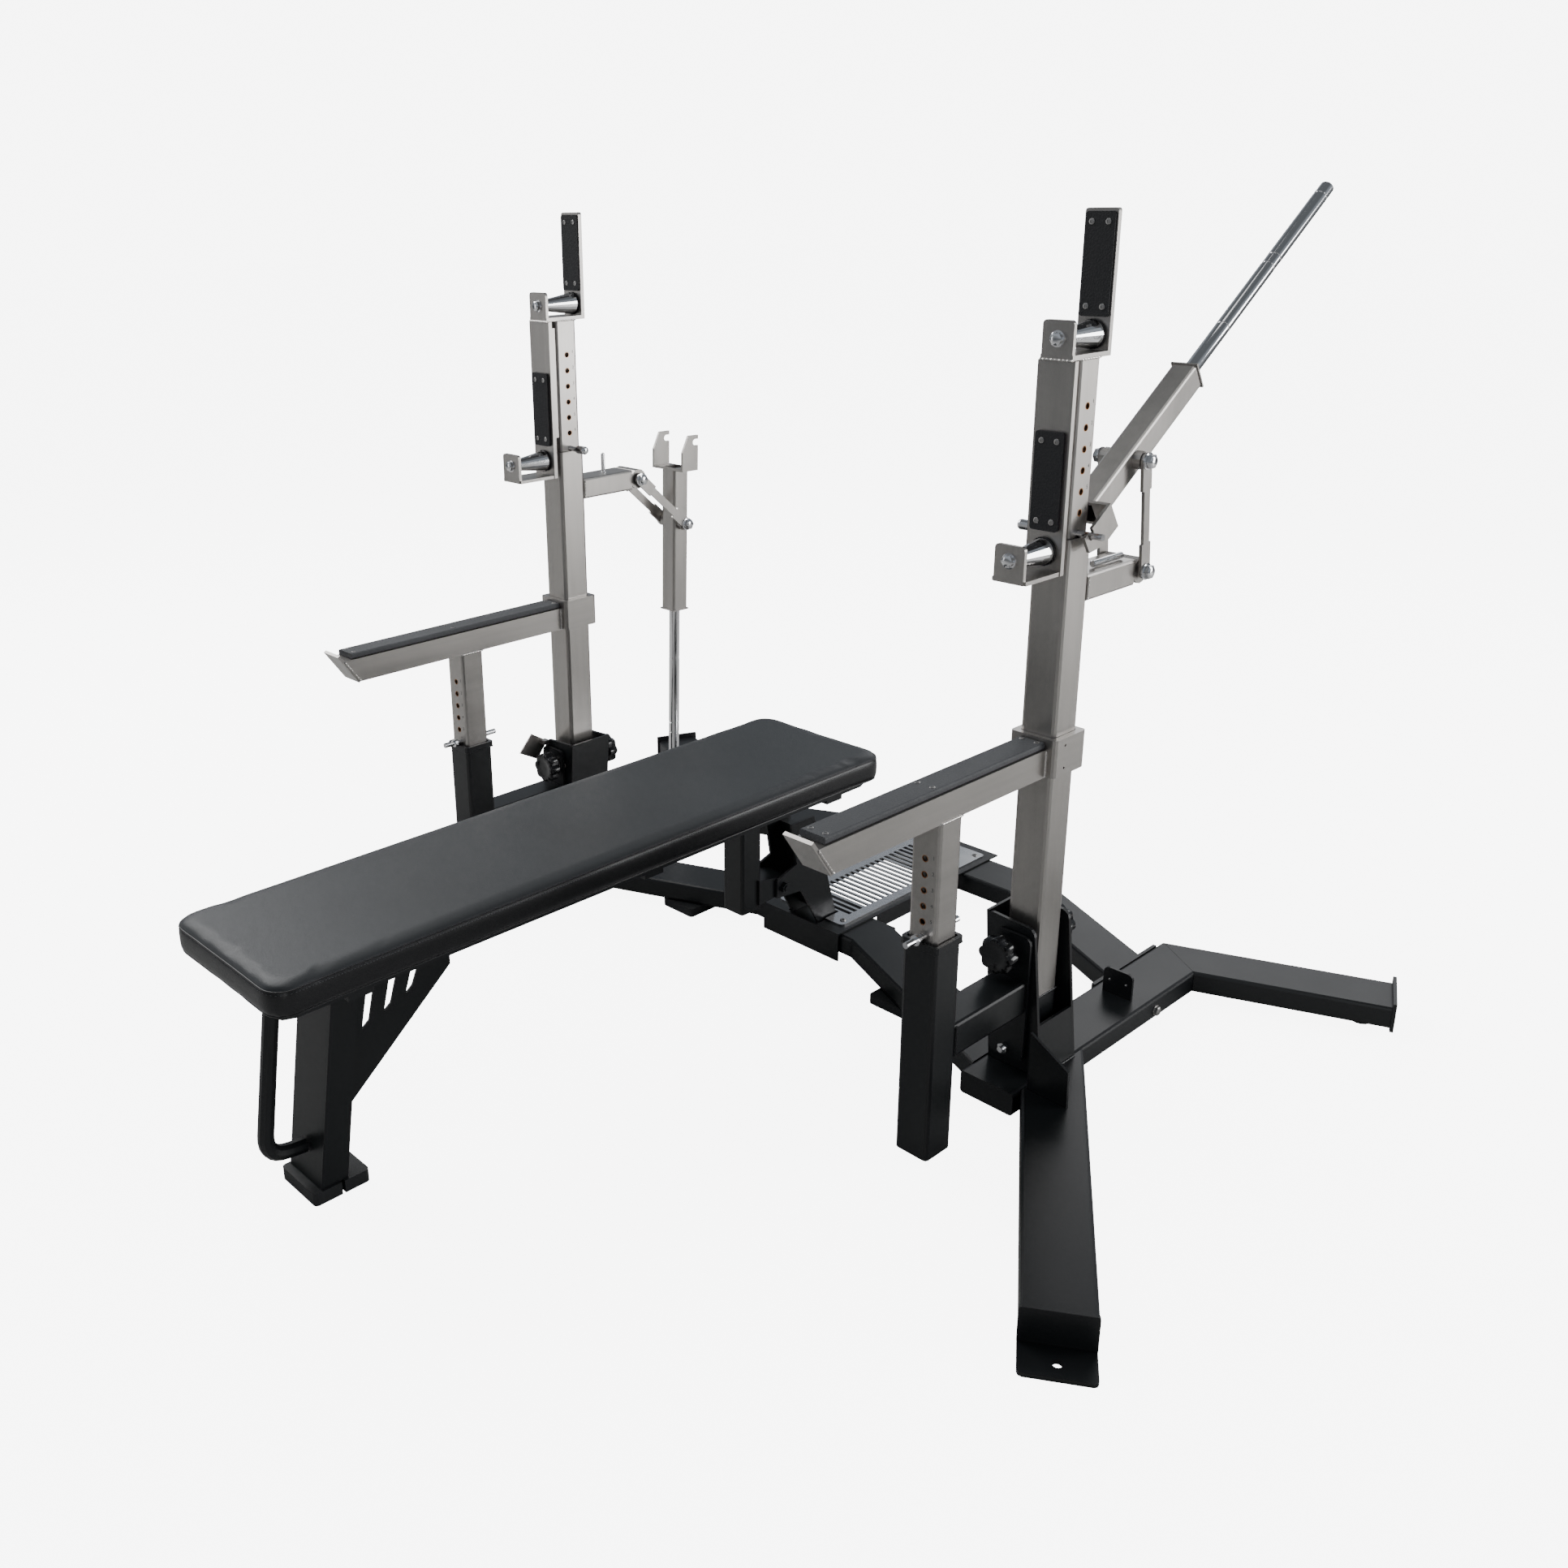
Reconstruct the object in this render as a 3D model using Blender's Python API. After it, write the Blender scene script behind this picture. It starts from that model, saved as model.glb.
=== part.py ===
"""Olympic bench press: a competition bench in a rack with lift levers.

Units are metres, +Z is up. +X points to the right-hand upright and +Y from the bench's foot end to its
head end. Dimensions are laid out from the point on the floor midway between the uprights, and each
part is then moved so that the origin is under the bench's foot. Side parts are modelled on the right
(+X) and mirrored for the left.
"""

import math

import bmesh
import bpy
from mathutils import Matrix, Vector

# Driving dimensions
ORIGIN_SHIFT = (0, 0.950, 0)
GAP = 0.0003
WALL = 0.003
POST_X = 0.5785
OUTER_TUBE = 0.060
INNER_TUBE = 0.050
BASE_LOW = 0.018
BASE_TOP = 0.058
BASE_WIDTH = 0.100

SLEEVE_LOW = 0.0705
SLEEVE_TOP = 0.180
UPRIGHT_TOP = 0.9258
PIVOT_Z = 0.095
KNOB_X = 0.570
KNOB_Z = 0.267
PIN_Z = 0.9311
HOOK_PITCH = 0.0303
HOOK_TOP = 1.178
ARM_PIVOT_Y = 0.175
ARM_PIVOT_Z = 0.846

POST_Y = -0.2665
SAFETY_PITCH = 0.0251
SAFETY_PIN_Z = 0.3784
SAFETY_HOLES = 5
BEAM_LOW = 0.564
BEAM_TOP = 0.6086

LINK_LENGTH = 0.1727
LINK_ANGLE = {1: 97.35, -1: -41.6}
LEVER_ANGLE = {1: 34.0, -1: -91.5}
FORK_BASE = 0.115
FORK_TIP = 0.190
NOTCH_ALONG = 0.175
NOTCH_ACROSS = 0.014
LEVER_END = 0.195
LEVER_REACH = 0.672

PAD_FOOT_Y = -1.1024
PAD_HEAD_Y = 0.1431
PAD_WIDTH = 0.305
PAD_LOW = 0.384
PAD_TOP = 0.436
DOCK_Z = 0.170

MATERIALS = {
    "silver": ((0.62, 0.60, 0.57), 0.35, 0.9),
    "black": ((0.012, 0.013, 0.015), 0.35, 0.0),
    "chrome": ((0.80, 0.80, 0.80), 0.12, 1.0),
    "liner": ((0.03, 0.03, 0.033), 0.8, 0.0),
    "vinyl": ((0.025, 0.030, 0.034), 0.45, 0.0),
    "rubber": ((0.02, 0.02, 0.02), 0.7, 0.0),
    "knob": ((0.01, 0.01, 0.01), 0.2, 0.0),
    "grating": ((0.75, 0.75, 0.76), 0.2, 1.0),
}

X, Y, Z = 0, 1, 2
SIDES = {"right": 1, "left": -1}


# Scene and helpers
def new_collection(name):
    collection = bpy.data.collections.new(name)
    bpy.context.scene.collection.children.link(collection)
    return collection


for old in list(bpy.data.objects):
    bpy.data.objects.remove(old)
parts = new_collection("olympic_bench_press")
tools = new_collection("tools")


def material(slot, name):
    colour, roughness, metallic = MATERIALS[slot]
    made = bpy.data.materials.new(name)
    made.use_nodes = True
    shader = made.node_tree.nodes["Principled BSDF"]
    shader.inputs["Base Color"].default_value = (*colour, 1.0)
    shader.inputs["Roughness"].default_value = roughness
    shader.inputs["Metallic"].default_value = metallic
    return made


def tool(bm):
    """A helper object that a Boolean adds or cuts."""
    bmesh.ops.recalc_face_normals(bm, faces=bm.faces)
    mesh = bpy.data.meshes.new("tool")
    bm.to_mesh(mesh)
    bm.free()
    obj = bpy.data.objects.new("tool", mesh)
    tools.objects.link(obj)
    obj.hide_render = True
    obj.display_type = "WIRE"
    return obj


def round_edges(bm, axis, radius, segments=2, keep=None):
    """Bevels the edges parallel to an axis; keep picks them by their middle."""
    edges = []
    for edge in bm.edges:
        run = edge.verts[1].co - edge.verts[0].co
        middle = (edge.verts[1].co + edge.verts[0].co) / 2
        if abs(run.normalized()[axis]) > 0.99 and (keep is None or keep(middle)):
            edges.append(edge)
    bmesh.ops.bevel(bm, geom=edges, offset=radius, segments=segments, profile=0.5, affect="EDGES")


def box(low, high, along=None, radius=0.005):
    low, high = Vector(low), Vector(high)
    bm = bmesh.new()
    bmesh.ops.create_cube(bm, size=1.0)
    bmesh.ops.scale(bm, vec=high - low, verts=bm.verts)
    bmesh.ops.translate(bm, vec=(low + high) / 2, verts=bm.verts)
    if along is not None:
        round_edges(bm, along, radius)
    return tool(bm)


def beam(start, end, width, height, radius=0.0, along=X):
    """A bar from start to end; width runs level and height at right angles to it."""
    start, end = Vector(start), Vector(end)
    run = end - start
    forward = run.normalized()
    level = Vector((0, 0, 1)).cross(forward)
    level = level.normalized() if level.length > 1e-6 else Vector((1, 0, 0))
    up = forward.cross(level)
    bm = bmesh.new()
    bmesh.ops.create_cube(bm, size=1.0)
    bmesh.ops.scale(bm, vec=(run.length, width, height), verts=bm.verts)
    if radius:
        round_edges(bm, along, radius)
    turn = Matrix((forward, level, up)).transposed().to_4x4()
    bmesh.ops.transform(bm, matrix=Matrix.Translation((start + end) / 2) @ turn, verts=bm.verts)
    return tool(bm)


def rod(start, end, radius, end_radius=None, sides=14):
    start, end = Vector(start), Vector(end)
    run = end - start
    bm = bmesh.new()
    bmesh.ops.create_cone(
        bm,
        cap_ends=True,
        segments=sides,
        radius1=radius,
        radius2=radius if end_radius is None else end_radius,
        depth=run.length,
    )
    turn = run.to_track_quat("Z", "Y").to_matrix().to_4x4()
    bmesh.ops.transform(bm, matrix=Matrix.Translation((start + end) / 2) @ turn, verts=bm.verts)
    return tool(bm)


def plate(outline, axis, low, high, radius=0.0, keep=None):
    """A flat outline, given in the two other axes in order, extruded from low to high."""
    bm = bmesh.new()
    corners = []
    for point in outline:
        corner = list(point)
        corner.insert(axis, low)
        corners.append(bm.verts.new(corner))
    face = bm.faces.new(corners)
    grown = bmesh.ops.extrude_face_region(bm, geom=[face])
    moved = [item for item in grown["geom"] if isinstance(item, bmesh.types.BMVert)]
    shift = Vector((0, 0, 0))
    shift[axis] = high - low
    bmesh.ops.translate(bm, vec=shift, verts=moved)
    if radius:
        round_edges(bm, axis, radius, 3, keep)
    return tool(bm)


def half_space(point, normal, size=3.0):
    """A large block that fills everything in front of a plane."""
    normal = Vector(normal).normalized()
    return beam(point, Vector(point) + normal * size, size, size)


def solid(name, slot, add, cut=(), side=1, pivot=(0, 0, 0), solver="EXACT"):
    """Joins and cuts the helpers into one named part whose origin is its pivot."""
    base = add[0]
    steps = [("UNION", piece) for piece in add[1:]] + [("DIFFERENCE", piece) for piece in cut]
    for operation, piece in steps:
        modifier = base.modifiers.new(operation.lower(), "BOOLEAN")
        modifier.operation = operation
        modifier.solver = solver
        modifier.object = piece
    graph = bpy.context.evaluated_depsgraph_get()
    mesh = bpy.data.meshes.new_from_object(base.evaluated_get(graph))
    mesh.name = name
    if side < 0:
        mesh.transform(Matrix.Scale(-1, 4, (1, 0, 0)))
        mesh.flip_normals()
    pivot = Vector((pivot[0] * side, pivot[1], pivot[2]))
    mesh.transform(Matrix.Translation(-pivot))
    mesh.materials.clear()
    mesh.materials.append(material(slot, name))
    mesh.shade_smooth()
    mesh.set_sharp_from_angle(angle=math.radians(35))
    part = bpy.data.objects.new(name, mesh)
    part.location = pivot + Vector(ORIGIN_SHIFT)
    parts.objects.link(part)
    for piece in [*add, *cut]:
        bpy.data.objects.remove(piece)
    return part


def square(centre, size, low, high, radius=0.006):
    """An upright square bar about a centre (x, y)."""
    half = size / 2
    corner = (centre[0] - half, centre[1] - half, low)
    return box(corner, (centre[0] + half, centre[1] + half, high), Z, radius)


def bore(size):
    """The inside size of a square tube."""
    return size - 2 * WALL


def along_lever(pivot, angle, along, across=0.0):
    """A point in the lever's plane, measured from its pivot towards the handle."""
    turn = math.radians(angle)
    step_y = along * math.cos(turn) - across * math.sin(turn)
    step_z = along * math.sin(turn) + across * math.cos(turn)
    return Vector((POST_X, pivot[1] + step_y, pivot[2] + step_z))


# Base frame
RAIL_X = 0.587
RAIL_INNER = RAIL_X - BASE_WIDTH / 2
RAIL_OUTER = RAIL_X + BASE_WIDTH / 2
REAR_START = Vector((RAIL_X, 0.472, 0))
REAR_TURN = math.radians(23.1)
REAR_RUN = Vector((math.cos(REAR_TURN), math.sin(REAR_TURN), 0))
REAR_END = REAR_START + REAR_RUN * 0.357
MITRE = REAR_RUN + Vector((0, 1, 0))
FRONT_START = Vector((RAIL_OUTER, -0.0075, 0))
FRONT_ANGLE = {1: 55.6, -1: 72.0}
FRONT_LENGTH = 0.5636
MID_Z = (BASE_LOW + BASE_TOP) / 2
BASE_HEIGHT = BASE_TOP - BASE_LOW
TAB_Y = 0.272


def at_height(point, z):
    return Vector((point[0], point[1], z))


def side_rail(name, side):
    body = beam((RAIL_X, -0.117, MID_Z), (RAIL_X, 0.560, MID_Z), BASE_WIDTH, BASE_HEIGHT, 0.005)
    tab = plate(
        [(0.555, 0.055), (0.611, 0.055), (0.611, 0.106), (0.555, 0.106)],
        Y,
        TAB_Y - 0.0025,
        TAB_Y + 0.0025,
        0.010,
        lambda middle: middle.z > 0.1,
    )
    hollow = beam((RAIL_X, -0.113, MID_Z), (RAIL_X, 0.70, MID_Z), bore(BASE_WIDTH), bore(BASE_HEIGHT))
    holes = [rod((x, 0.26, 0.084), (x, 0.28, 0.084), 0.0025, sides=10) for x in (0.567, 0.599)]
    mitre = half_space(at_height(REAR_START, MID_Z) - MITRE.normalized() * GAP, MITRE)
    solid(name, "black", [body, tab], [hollow, mitre, *holes], side)


def rear_leg(name, side):
    start = at_height(REAR_START, MID_Z)
    end = at_height(REAR_END, MID_Z)
    body = beam(start - REAR_RUN * 0.06, end, BASE_WIDTH, BASE_HEIGHT, 0.005)
    cap_low = at_height(REAR_END, 0.041)
    cap = beam(cap_low - REAR_RUN * 0.001, cap_low + REAR_RUN * 0.005, 0.106, 0.054)
    under = at_height(REAR_END - REAR_RUN * 0.045, 0)
    foot = rod(under, under + Vector((0, 0, 0.020)), 0.018)
    hollow = beam(start - REAR_RUN * 0.2, end - REAR_RUN * 0.003, bore(BASE_WIDTH), bore(BASE_HEIGHT))
    mitre = half_space(start + MITRE.normalized() * GAP, -MITRE)
    solid(name, "black", [body, cap, foot], [hollow, mitre], side)


def front_leg(name, side):
    turn = math.radians(FRONT_ANGLE[side])
    run = Vector((math.cos(turn), -math.sin(turn), 0))
    tip = FRONT_START + run * FRONT_LENGTH
    start, end = at_height(FRONT_START, MID_Z), at_height(tip, MID_Z)
    body = beam(start - run * 0.1, end, BASE_WIDTH, BASE_HEIGHT, 0.005)
    face, sole = at_height(tip, 0.031), at_height(tip, 0.003)
    cap = beam(face - run * 0.0012, face + run * 0.005, BASE_WIDTH + 0.0016, 0.058, 0.004)
    flange = beam(sole - run * 0.006, sole + run * 0.061, BASE_WIDTH + 0.0008, 0.006, 0.007, Z)
    hollow = beam(start - run * 0.3, end - run * 0.003, bore(BASE_WIDTH), bore(BASE_HEIGHT))
    rail_side = half_space((RAIL_OUTER + GAP, 0, MID_Z), (-1, 0, 0))
    gusset = plate([(0.642, 0.056), (0.714, 0.056), (0.712, 0.120), (0.642, 0.160)], Y, -0.0875, -0.0825)
    anchor = at_height(tip + run * 0.036, 0)
    hole = rod(anchor - Vector((0, 0, 0.01)), anchor + Vector((0, 0, 0.02)), 0.0065, sides=16)
    solid(name, "black", [body, cap, flange, gusset], [hollow, rail_side, hole], side)


def base_foot(name, side):
    solid(name, "rubber", [box((0.235, 0.015, 0), (0.320, 0.090, BASE_LOW - GAP), Z, 0.006)], side=side)


def upright_bracket(name, side):
    outline = [(0.522, 0.318), (0.542, BASE_TOP + GAP), (0.640, BASE_TOP + GAP), (0.612, 0.312)]
    cheek = [(0.640, BASE_TOP + GAP), (0.630, 0.148), (0.625, 0.148), (0.635, BASE_TOP + GAP)]
    inner = [(0.522, 0.318), (0.542, BASE_TOP + GAP), (0.547, BASE_TOP + GAP), (0.527, 0.318)]
    add = [plate(inner, Y, -0.050, 0.050), plate(cheek, Y, -0.047, 0.047)]
    for low in (-0.050, 0.044):
        add.append(plate(outline, Y, low, low + 0.006, 0.012, lambda middle: middle.z > 0.2))
    cut = [rod((POST_X, -0.08, PIVOT_Z), (POST_X, 0.08, PIVOT_Z), 0.0055)]
    slot_low, slot_high = KNOB_X - 0.016, KNOB_X + 0.001
    cut.append(box((slot_low, -0.08, KNOB_Z - 0.0075), (slot_high, 0.08, KNOB_Z + 0.0075)))
    for x in (slot_low, slot_high):
        cut.append(rod((x, -0.081, KNOB_Z), (x, 0.081, KNOB_Z), 0.0075))
    solid(name, "black", add, cut, side)


# Leaning upright
def upright_tube(name, side):
    add = [
        square((POST_X, 0), OUTER_TUBE, SLEEVE_TOP + GAP, UPRIGHT_TOP),
        box((POST_X - 0.030, 0.028, 0.825), (POST_X + 0.030, 0.158, 0.866), Y, 0.004),
        rod((POST_X - 0.030, ARM_PIVOT_Y, ARM_PIVOT_Z), (POST_X + 0.030, ARM_PIVOT_Y, ARM_PIVOT_Z), 0.0205),
    ]
    cut = [
        square((POST_X, 0), bore(OUTER_TUBE), 0.1, 1.0, 0.003),
        box((POST_X - 0.027, 0.020, 0.828), (POST_X + 0.027, 0.150, 0.863)),
        rod((0.5, ARM_PIVOT_Y, ARM_PIVOT_Z), (0.66, ARM_PIVOT_Y, ARM_PIVOT_Z), 0.0055),
        rod((KNOB_X, -0.06, KNOB_Z), (KNOB_X, 0.06, KNOB_Z), 0.0065),
    ]
    solid(name, "silver", add, cut, side, (POST_X, 0, PIVOT_Z))


def upright_sleeve(name, side):
    add = [square((POST_X, 0), OUTER_TUBE, SLEEVE_LOW, SLEEVE_TOP)]
    cut = [
        square((POST_X, 0), bore(OUTER_TUBE), 0.0, 0.3, 0.003),
        rod((POST_X, -0.06, PIVOT_Z), (POST_X, 0.06, PIVOT_Z), 0.0055),
    ]
    solid(name, "black", add, cut, side, (POST_X, 0, PIVOT_Z))


def safety_post(name, side):
    plate_outline = [(0.547, 0.078), (0.612, 0.078), (0.612, 0.300), (0.547, 0.300)]
    add = [
        square((POST_X, POST_Y), OUTER_TUBE, 0.008, 0.368),
        square((POST_X, POST_Y), 0.066, 0.362, 0.373),
        box((POST_X - 0.030, -0.24, 0.166), (POST_X + 0.030, -0.056, 0.223), Y, 0.005),
        plate(plate_outline, Y, -0.059, -0.053, 0.012),
    ]
    cut = [
        square((POST_X, POST_Y), bore(OUTER_TUBE), 0.012, 0.5, 0.003),
        box((POST_X - 0.027, -0.26, 0.169), (POST_X + 0.027, -0.062, 0.220)),
        rod((POST_X, -0.08, PIVOT_Z), (POST_X, -0.04, PIVOT_Z), 0.0055),
        rod((KNOB_X, -0.08, KNOB_Z), (KNOB_X, -0.04, KNOB_Z), 0.0065),
    ]
    solid(name, "black", add, cut, side, (POST_X, 0, PIVOT_Z))


def star(front, back):
    """A star knob between two places along Y."""
    lobes = 6
    pieces = [rod((KNOB_X, front, KNOB_Z), (KNOB_X, back, KNOB_Z), 0.0245)]
    for lobe in range(lobes):
        turn = math.tau * lobe / lobes
        x = KNOB_X + 0.0235 * math.cos(turn)
        z = KNOB_Z + 0.0235 * math.sin(turn)
        pieces.append(rod((x, front + 0.0005, z), (x, back - 0.0005, z), 0.0085, sides=8))
    return pieces


def clamp_knob(name, side):
    add = [rod((KNOB_X, -0.075, KNOB_Z), (KNOB_X, 0.075, KNOB_Z), 0.0060)]
    add += star(-0.095, -0.070)
    add += star(0.067, 0.092)
    add.append(rod((KNOB_X, -0.072, KNOB_Z), (KNOB_X, -0.0595, KNOB_Z), 0.016))
    add.append(rod((KNOB_X, 0.0505, KNOB_Z), (KNOB_X, 0.070, KNOB_Z), 0.016))
    solid(name, "knob", add, side=side, pivot=(KNOB_X, 0, KNOB_Z))


def pivot_bolt(name, side):
    add = [
        rod((POST_X, -0.074, PIVOT_Z), (POST_X, 0.066, PIVOT_Z), 0.0050),
        rod((POST_X, -0.068, PIVOT_Z), (POST_X, -0.0595, PIVOT_Z), 0.0095, sides=6),
        rod((POST_X, 0.0505, PIVOT_Z), (POST_X, 0.059, PIVOT_Z), 0.0095, sides=6),
    ]
    solid(name, "chrome", add, side=side)


# Hook carriage
def hook_tube(name, side):
    cut = [square((POST_X, 0), bore(INNER_TUBE), 0.3, 1.3, 0.003)]
    for row in range(7):
        z = PIN_Z + row * HOOK_PITCH
        cut.append(rod((0.5, 0, z), (0.66, 0, z), 0.0055, sides=10))
    body = square((POST_X, 0), INNER_TUBE, 0.480, HOOK_TOP, 0.005)
    solid(name, "silver", [body], cut, side, (POST_X, 0, HOOK_TOP))


def top_hook(name, side):
    low = HOOK_TOP + GAP
    back = [(POST_X - 0.026, low), (POST_X + 0.026, low), (POST_X + 0.026, 1.3755), (POST_X - 0.026, 1.3755)]
    lip = [(POST_X - 0.025, low), (POST_X + 0.025, low), (POST_X + 0.025, 1.232), (POST_X - 0.025, 1.232)]
    add = [
        box((POST_X - 0.026, -0.047, low), (POST_X + 0.026, 0.048, low + 0.007)),
        plate(back, Y, 0.040, 0.048, 0.004, lambda middle: middle.z > 1.3),
        plate(lip, Y, -0.047, -0.041, 0.006, lambda middle: middle.z > 1.2),
        rod((POST_X, -0.053, 1.207), (POST_X, 0.044, 1.207), 0.005),
        rod((POST_X, -0.0525, 1.207), (POST_X, -0.046, 1.207), 0.009),
    ]
    solid(name, "silver", add, side=side, pivot=(POST_X, 0, HOOK_TOP))


def bench_hook(name, side):
    lip = [(POST_X - 0.025, 0.877), (POST_X + 0.025, 0.877), (POST_X + 0.025, 0.932), (POST_X - 0.025, 0.932)]
    add = [
        box((POST_X - 0.030, -0.046, 0.877), (POST_X + 0.030, -0.038, HOOK_TOP - GAP)),
        box((POST_X - 0.022, -0.040, 0.955), (POST_X + 0.022, -0.025 - GAP, 1.165)),
        box((POST_X - 0.0285, -0.128, 0.877), (POST_X + 0.0285, -0.040, 0.883)),
        plate(lip, Y, -0.130, -0.124, 0.006, lambda middle: middle.z > 0.92),
        rod((POST_X, -0.136, 0.9095), (POST_X, -0.042, 0.9095), 0.005),
        rod((POST_X, -0.1355, 0.9095), (POST_X, -0.129, 0.9095), 0.009),
    ]
    solid(name, "silver", add, side=side, pivot=(POST_X, 0, HOOK_TOP))


def top_liner(name, side):
    liner = box((POST_X - 0.0235, 0.0367, 1.231), (POST_X + 0.0235, 0.040 - GAP, 1.371), Y, 0.004)
    solid(name, "liner", [liner], side=side)


def bench_liner(name, side):
    liner = box((POST_X - 0.023, -0.0515, 0.940), (POST_X + 0.023, -0.046 - GAP, 1.081), Y, 0.004)
    solid(name, "liner", [liner], side=side)


def roller(name, side, front, back, z, small, large):
    body = rod((POST_X, front, z), (POST_X, back, z), small, large, 24)
    hole = rod((POST_X, front - 0.01, z), (POST_X, back + 0.01, z), 0.0054)
    solid(name, "chrome", [body], [hole], side, (POST_X, 0, z))


def height_pin(name, side):
    add = [
        rod((POST_X - 0.060, 0, PIN_Z), (POST_X + 0.066, 0, PIN_Z), 0.0050),
        rod((POST_X - 0.070, 0, PIN_Z), (POST_X - 0.0505, 0, PIN_Z), 0.0080),
    ]
    solid(name, "chrome", add, side=side, pivot=(POST_X, 0, PIN_Z))


# Safety arm
def safety_arm(name, side):
    rise = [(-0.034, BEAM_LOW), (-0.034, BEAM_TOP), (-0.5496, BEAM_TOP), (-0.519, BEAM_LOW)]
    inside = [(-0.025, 0.567), (-0.025, 0.6056), (-0.544, 0.6056), (-0.517, 0.567)]
    tip = [(-0.518, 0.565), (-0.5231, 0.5621), (-0.5631, 0.6191), (-0.558, 0.622)]
    half = INNER_TUBE / 2
    add = [
        plate(rise, X, POST_X - half, POST_X + half),
        plate(tip, X, POST_X - half, POST_X + half),
        square((POST_X, 0), 0.081, 0.565, 0.625),
        square((POST_X, POST_Y), INNER_TUBE, 0.200, 0.566, 0.005),
    ]
    cut = [
        square((POST_X, 0), OUTER_TUBE + 0.0016, 0.5, 0.7),
        plate(inside, X, POST_X - half + WALL, POST_X + half - WALL),
        square((POST_X, POST_Y), bore(INNER_TUBE), 0.15, BEAM_LOW, 0.003),
    ]
    for row in range(SAFETY_HOLES + 1):
        z = SAFETY_PIN_Z + row * SAFETY_PITCH
        cut.append(rod((POST_X, -0.32, z), (POST_X, -0.22, z), 0.0055, sides=10))
    for z in (0.577, 0.613):
        cut.append(rod((0.60, -0.0145, z), (0.65, -0.0145, z), 0.002, sides=10))
    solid(name, "silver", add, cut, side, (POST_X, 0, BEAM_TOP))


def safety_liner(name, side):
    liner = box((POST_X - 0.0225, -0.533, BEAM_TOP + GAP), (POST_X + 0.0225, -0.042, 0.6195), Y, 0.003)
    solid(name, "liner", [liner], side=side)


def safety_pin(name, side):
    add = [
        rod((POST_X, -0.329, SAFETY_PIN_Z), (POST_X, -0.206, SAFETY_PIN_Z), 0.0050),
        rod((POST_X, -0.307, SAFETY_PIN_Z), (POST_X, -0.300, SAFETY_PIN_Z), 0.0085),
    ]
    solid(name, "chrome", add, side=side, pivot=(POST_X, POST_Y, SAFETY_PIN_Z))


# Lift lever
def arm_pivot():
    return Vector((POST_X, ARM_PIVOT_Y, ARM_PIVOT_Z))


def link_end(side):
    return along_lever(arm_pivot(), LINK_ANGLE[side], LINK_LENGTH)


def lever_link(name, side):
    near, far = arm_pivot(), link_end(side)
    run = (far - near).normalized()
    across = Vector((1, 0, 0))
    first, second = near + run * 0.045, far - run * 0.045
    add = []
    for offset in (-0.036, 0.036):
        shift = across * offset
        add.append(beam(near + shift, far + shift, 0.005, 0.016))
        add.append(beam(near + shift, first + shift, 0.005, 0.024))
        add.append(beam(second + shift, far + shift, 0.005, 0.024))
        for centre in (near, far):
            middle = centre + shift
            add.append(rod(middle - across * 0.0025, middle + across * 0.0025, 0.012))
    for centre in (near, far):
        add.append(rod(centre - across * 0.050, centre + across * 0.050, 0.0050))
        for end in (-1, 1):
            start = centre + across * 0.038 * end
            add.append(rod(start, start + across * 0.0085 * end, 0.0095, sides=6))
    # The exact solver leaves the two bars of a link apart from its axles.
    solid(name, "silver", add, side=side, pivot=near, solver="MANIFOLD")


def jack_lever(name, side):
    centre = link_end(side)
    angle = LEVER_ANGLE[side]

    def at(along, across=0.0, x=0.0):
        return along_lever(centre, angle, along, across) + Vector((x, 0, 0))

    add = [
        beam(at(-FORK_BASE - 0.002), at(LEVER_END - 0.001), 0.040, 0.040, 0.004),
        rod(at(0, 0, -0.0325), at(0, 0, 0.0325), 0.014),
        beam(at(-FORK_BASE - 0.005), at(-FORK_BASE), 0.095, 0.045),
        beam(at(LEVER_END - 0.003), at(LEVER_END), 0.044, 0.044),
    ]
    cut = [
        rod(at(0, 0, -0.04), at(0, 0, 0.04), 0.0055),
        beam(at(-0.2), at(LEVER_END - 0.004), 0.034, 0.034),
    ]
    for x in (-0.045, 0.045):
        add.append(beam(at(-FORK_TIP, 0, x), at(-FORK_BASE, 0, x), 0.005, 0.045))
    cut.append(rod(at(-NOTCH_ALONG, NOTCH_ACROSS, -0.06), at(-NOTCH_ALONG, NOTCH_ACROSS, 0.06), 0.0068))
    cut.append(beam(at(-NOTCH_ALONG, NOTCH_ACROSS), at(-NOTCH_ALONG, 0.04), 0.12, 0.0136))
    corner = at(-0.192, -0.005)
    cut.append(half_space(corner, at(-0.212, -0.047) - corner))
    # The exact solver leaves open edges where the fork meets the beam.
    solid(name, "silver", add, cut, side, centre, "MANIFOLD")


def lever_handle(name, side):
    centre = link_end(side)
    start = along_lever(centre, LEVER_ANGLE[side], LEVER_END + GAP)
    end = along_lever(centre, LEVER_ANGLE[side], LEVER_REACH)
    solid(name, "chrome", [rod(start, end, 0.0115)], side=side, pivot=centre)


# Middle of the base
def front_cross_member():
    add = [box((-0.150, 0.093, BASE_LOW), (0.150, 0.195, BASE_TOP), X)]
    cut = [box((-0.170, 0.096, BASE_LOW + WALL), (0.170, 0.192, BASE_TOP - WALL))]
    rail = RAIL_INNER - GAP
    for way in (-1, 1):
        start = Vector((way * 0.60, -0.060, MID_Z))
        end = Vector((way * 0.125, 0.147, MID_Z))
        add.append(beam(start, end, BASE_WIDTH, BASE_HEIGHT, 0.005))
        cut.append(beam(start, end, bore(BASE_WIDTH), bore(BASE_HEIGHT)))
        cut.append(half_space((way * rail, 0, MID_Z), (way, 0, 0)))
    solid("front_cross_member", "black", add, cut)


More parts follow.
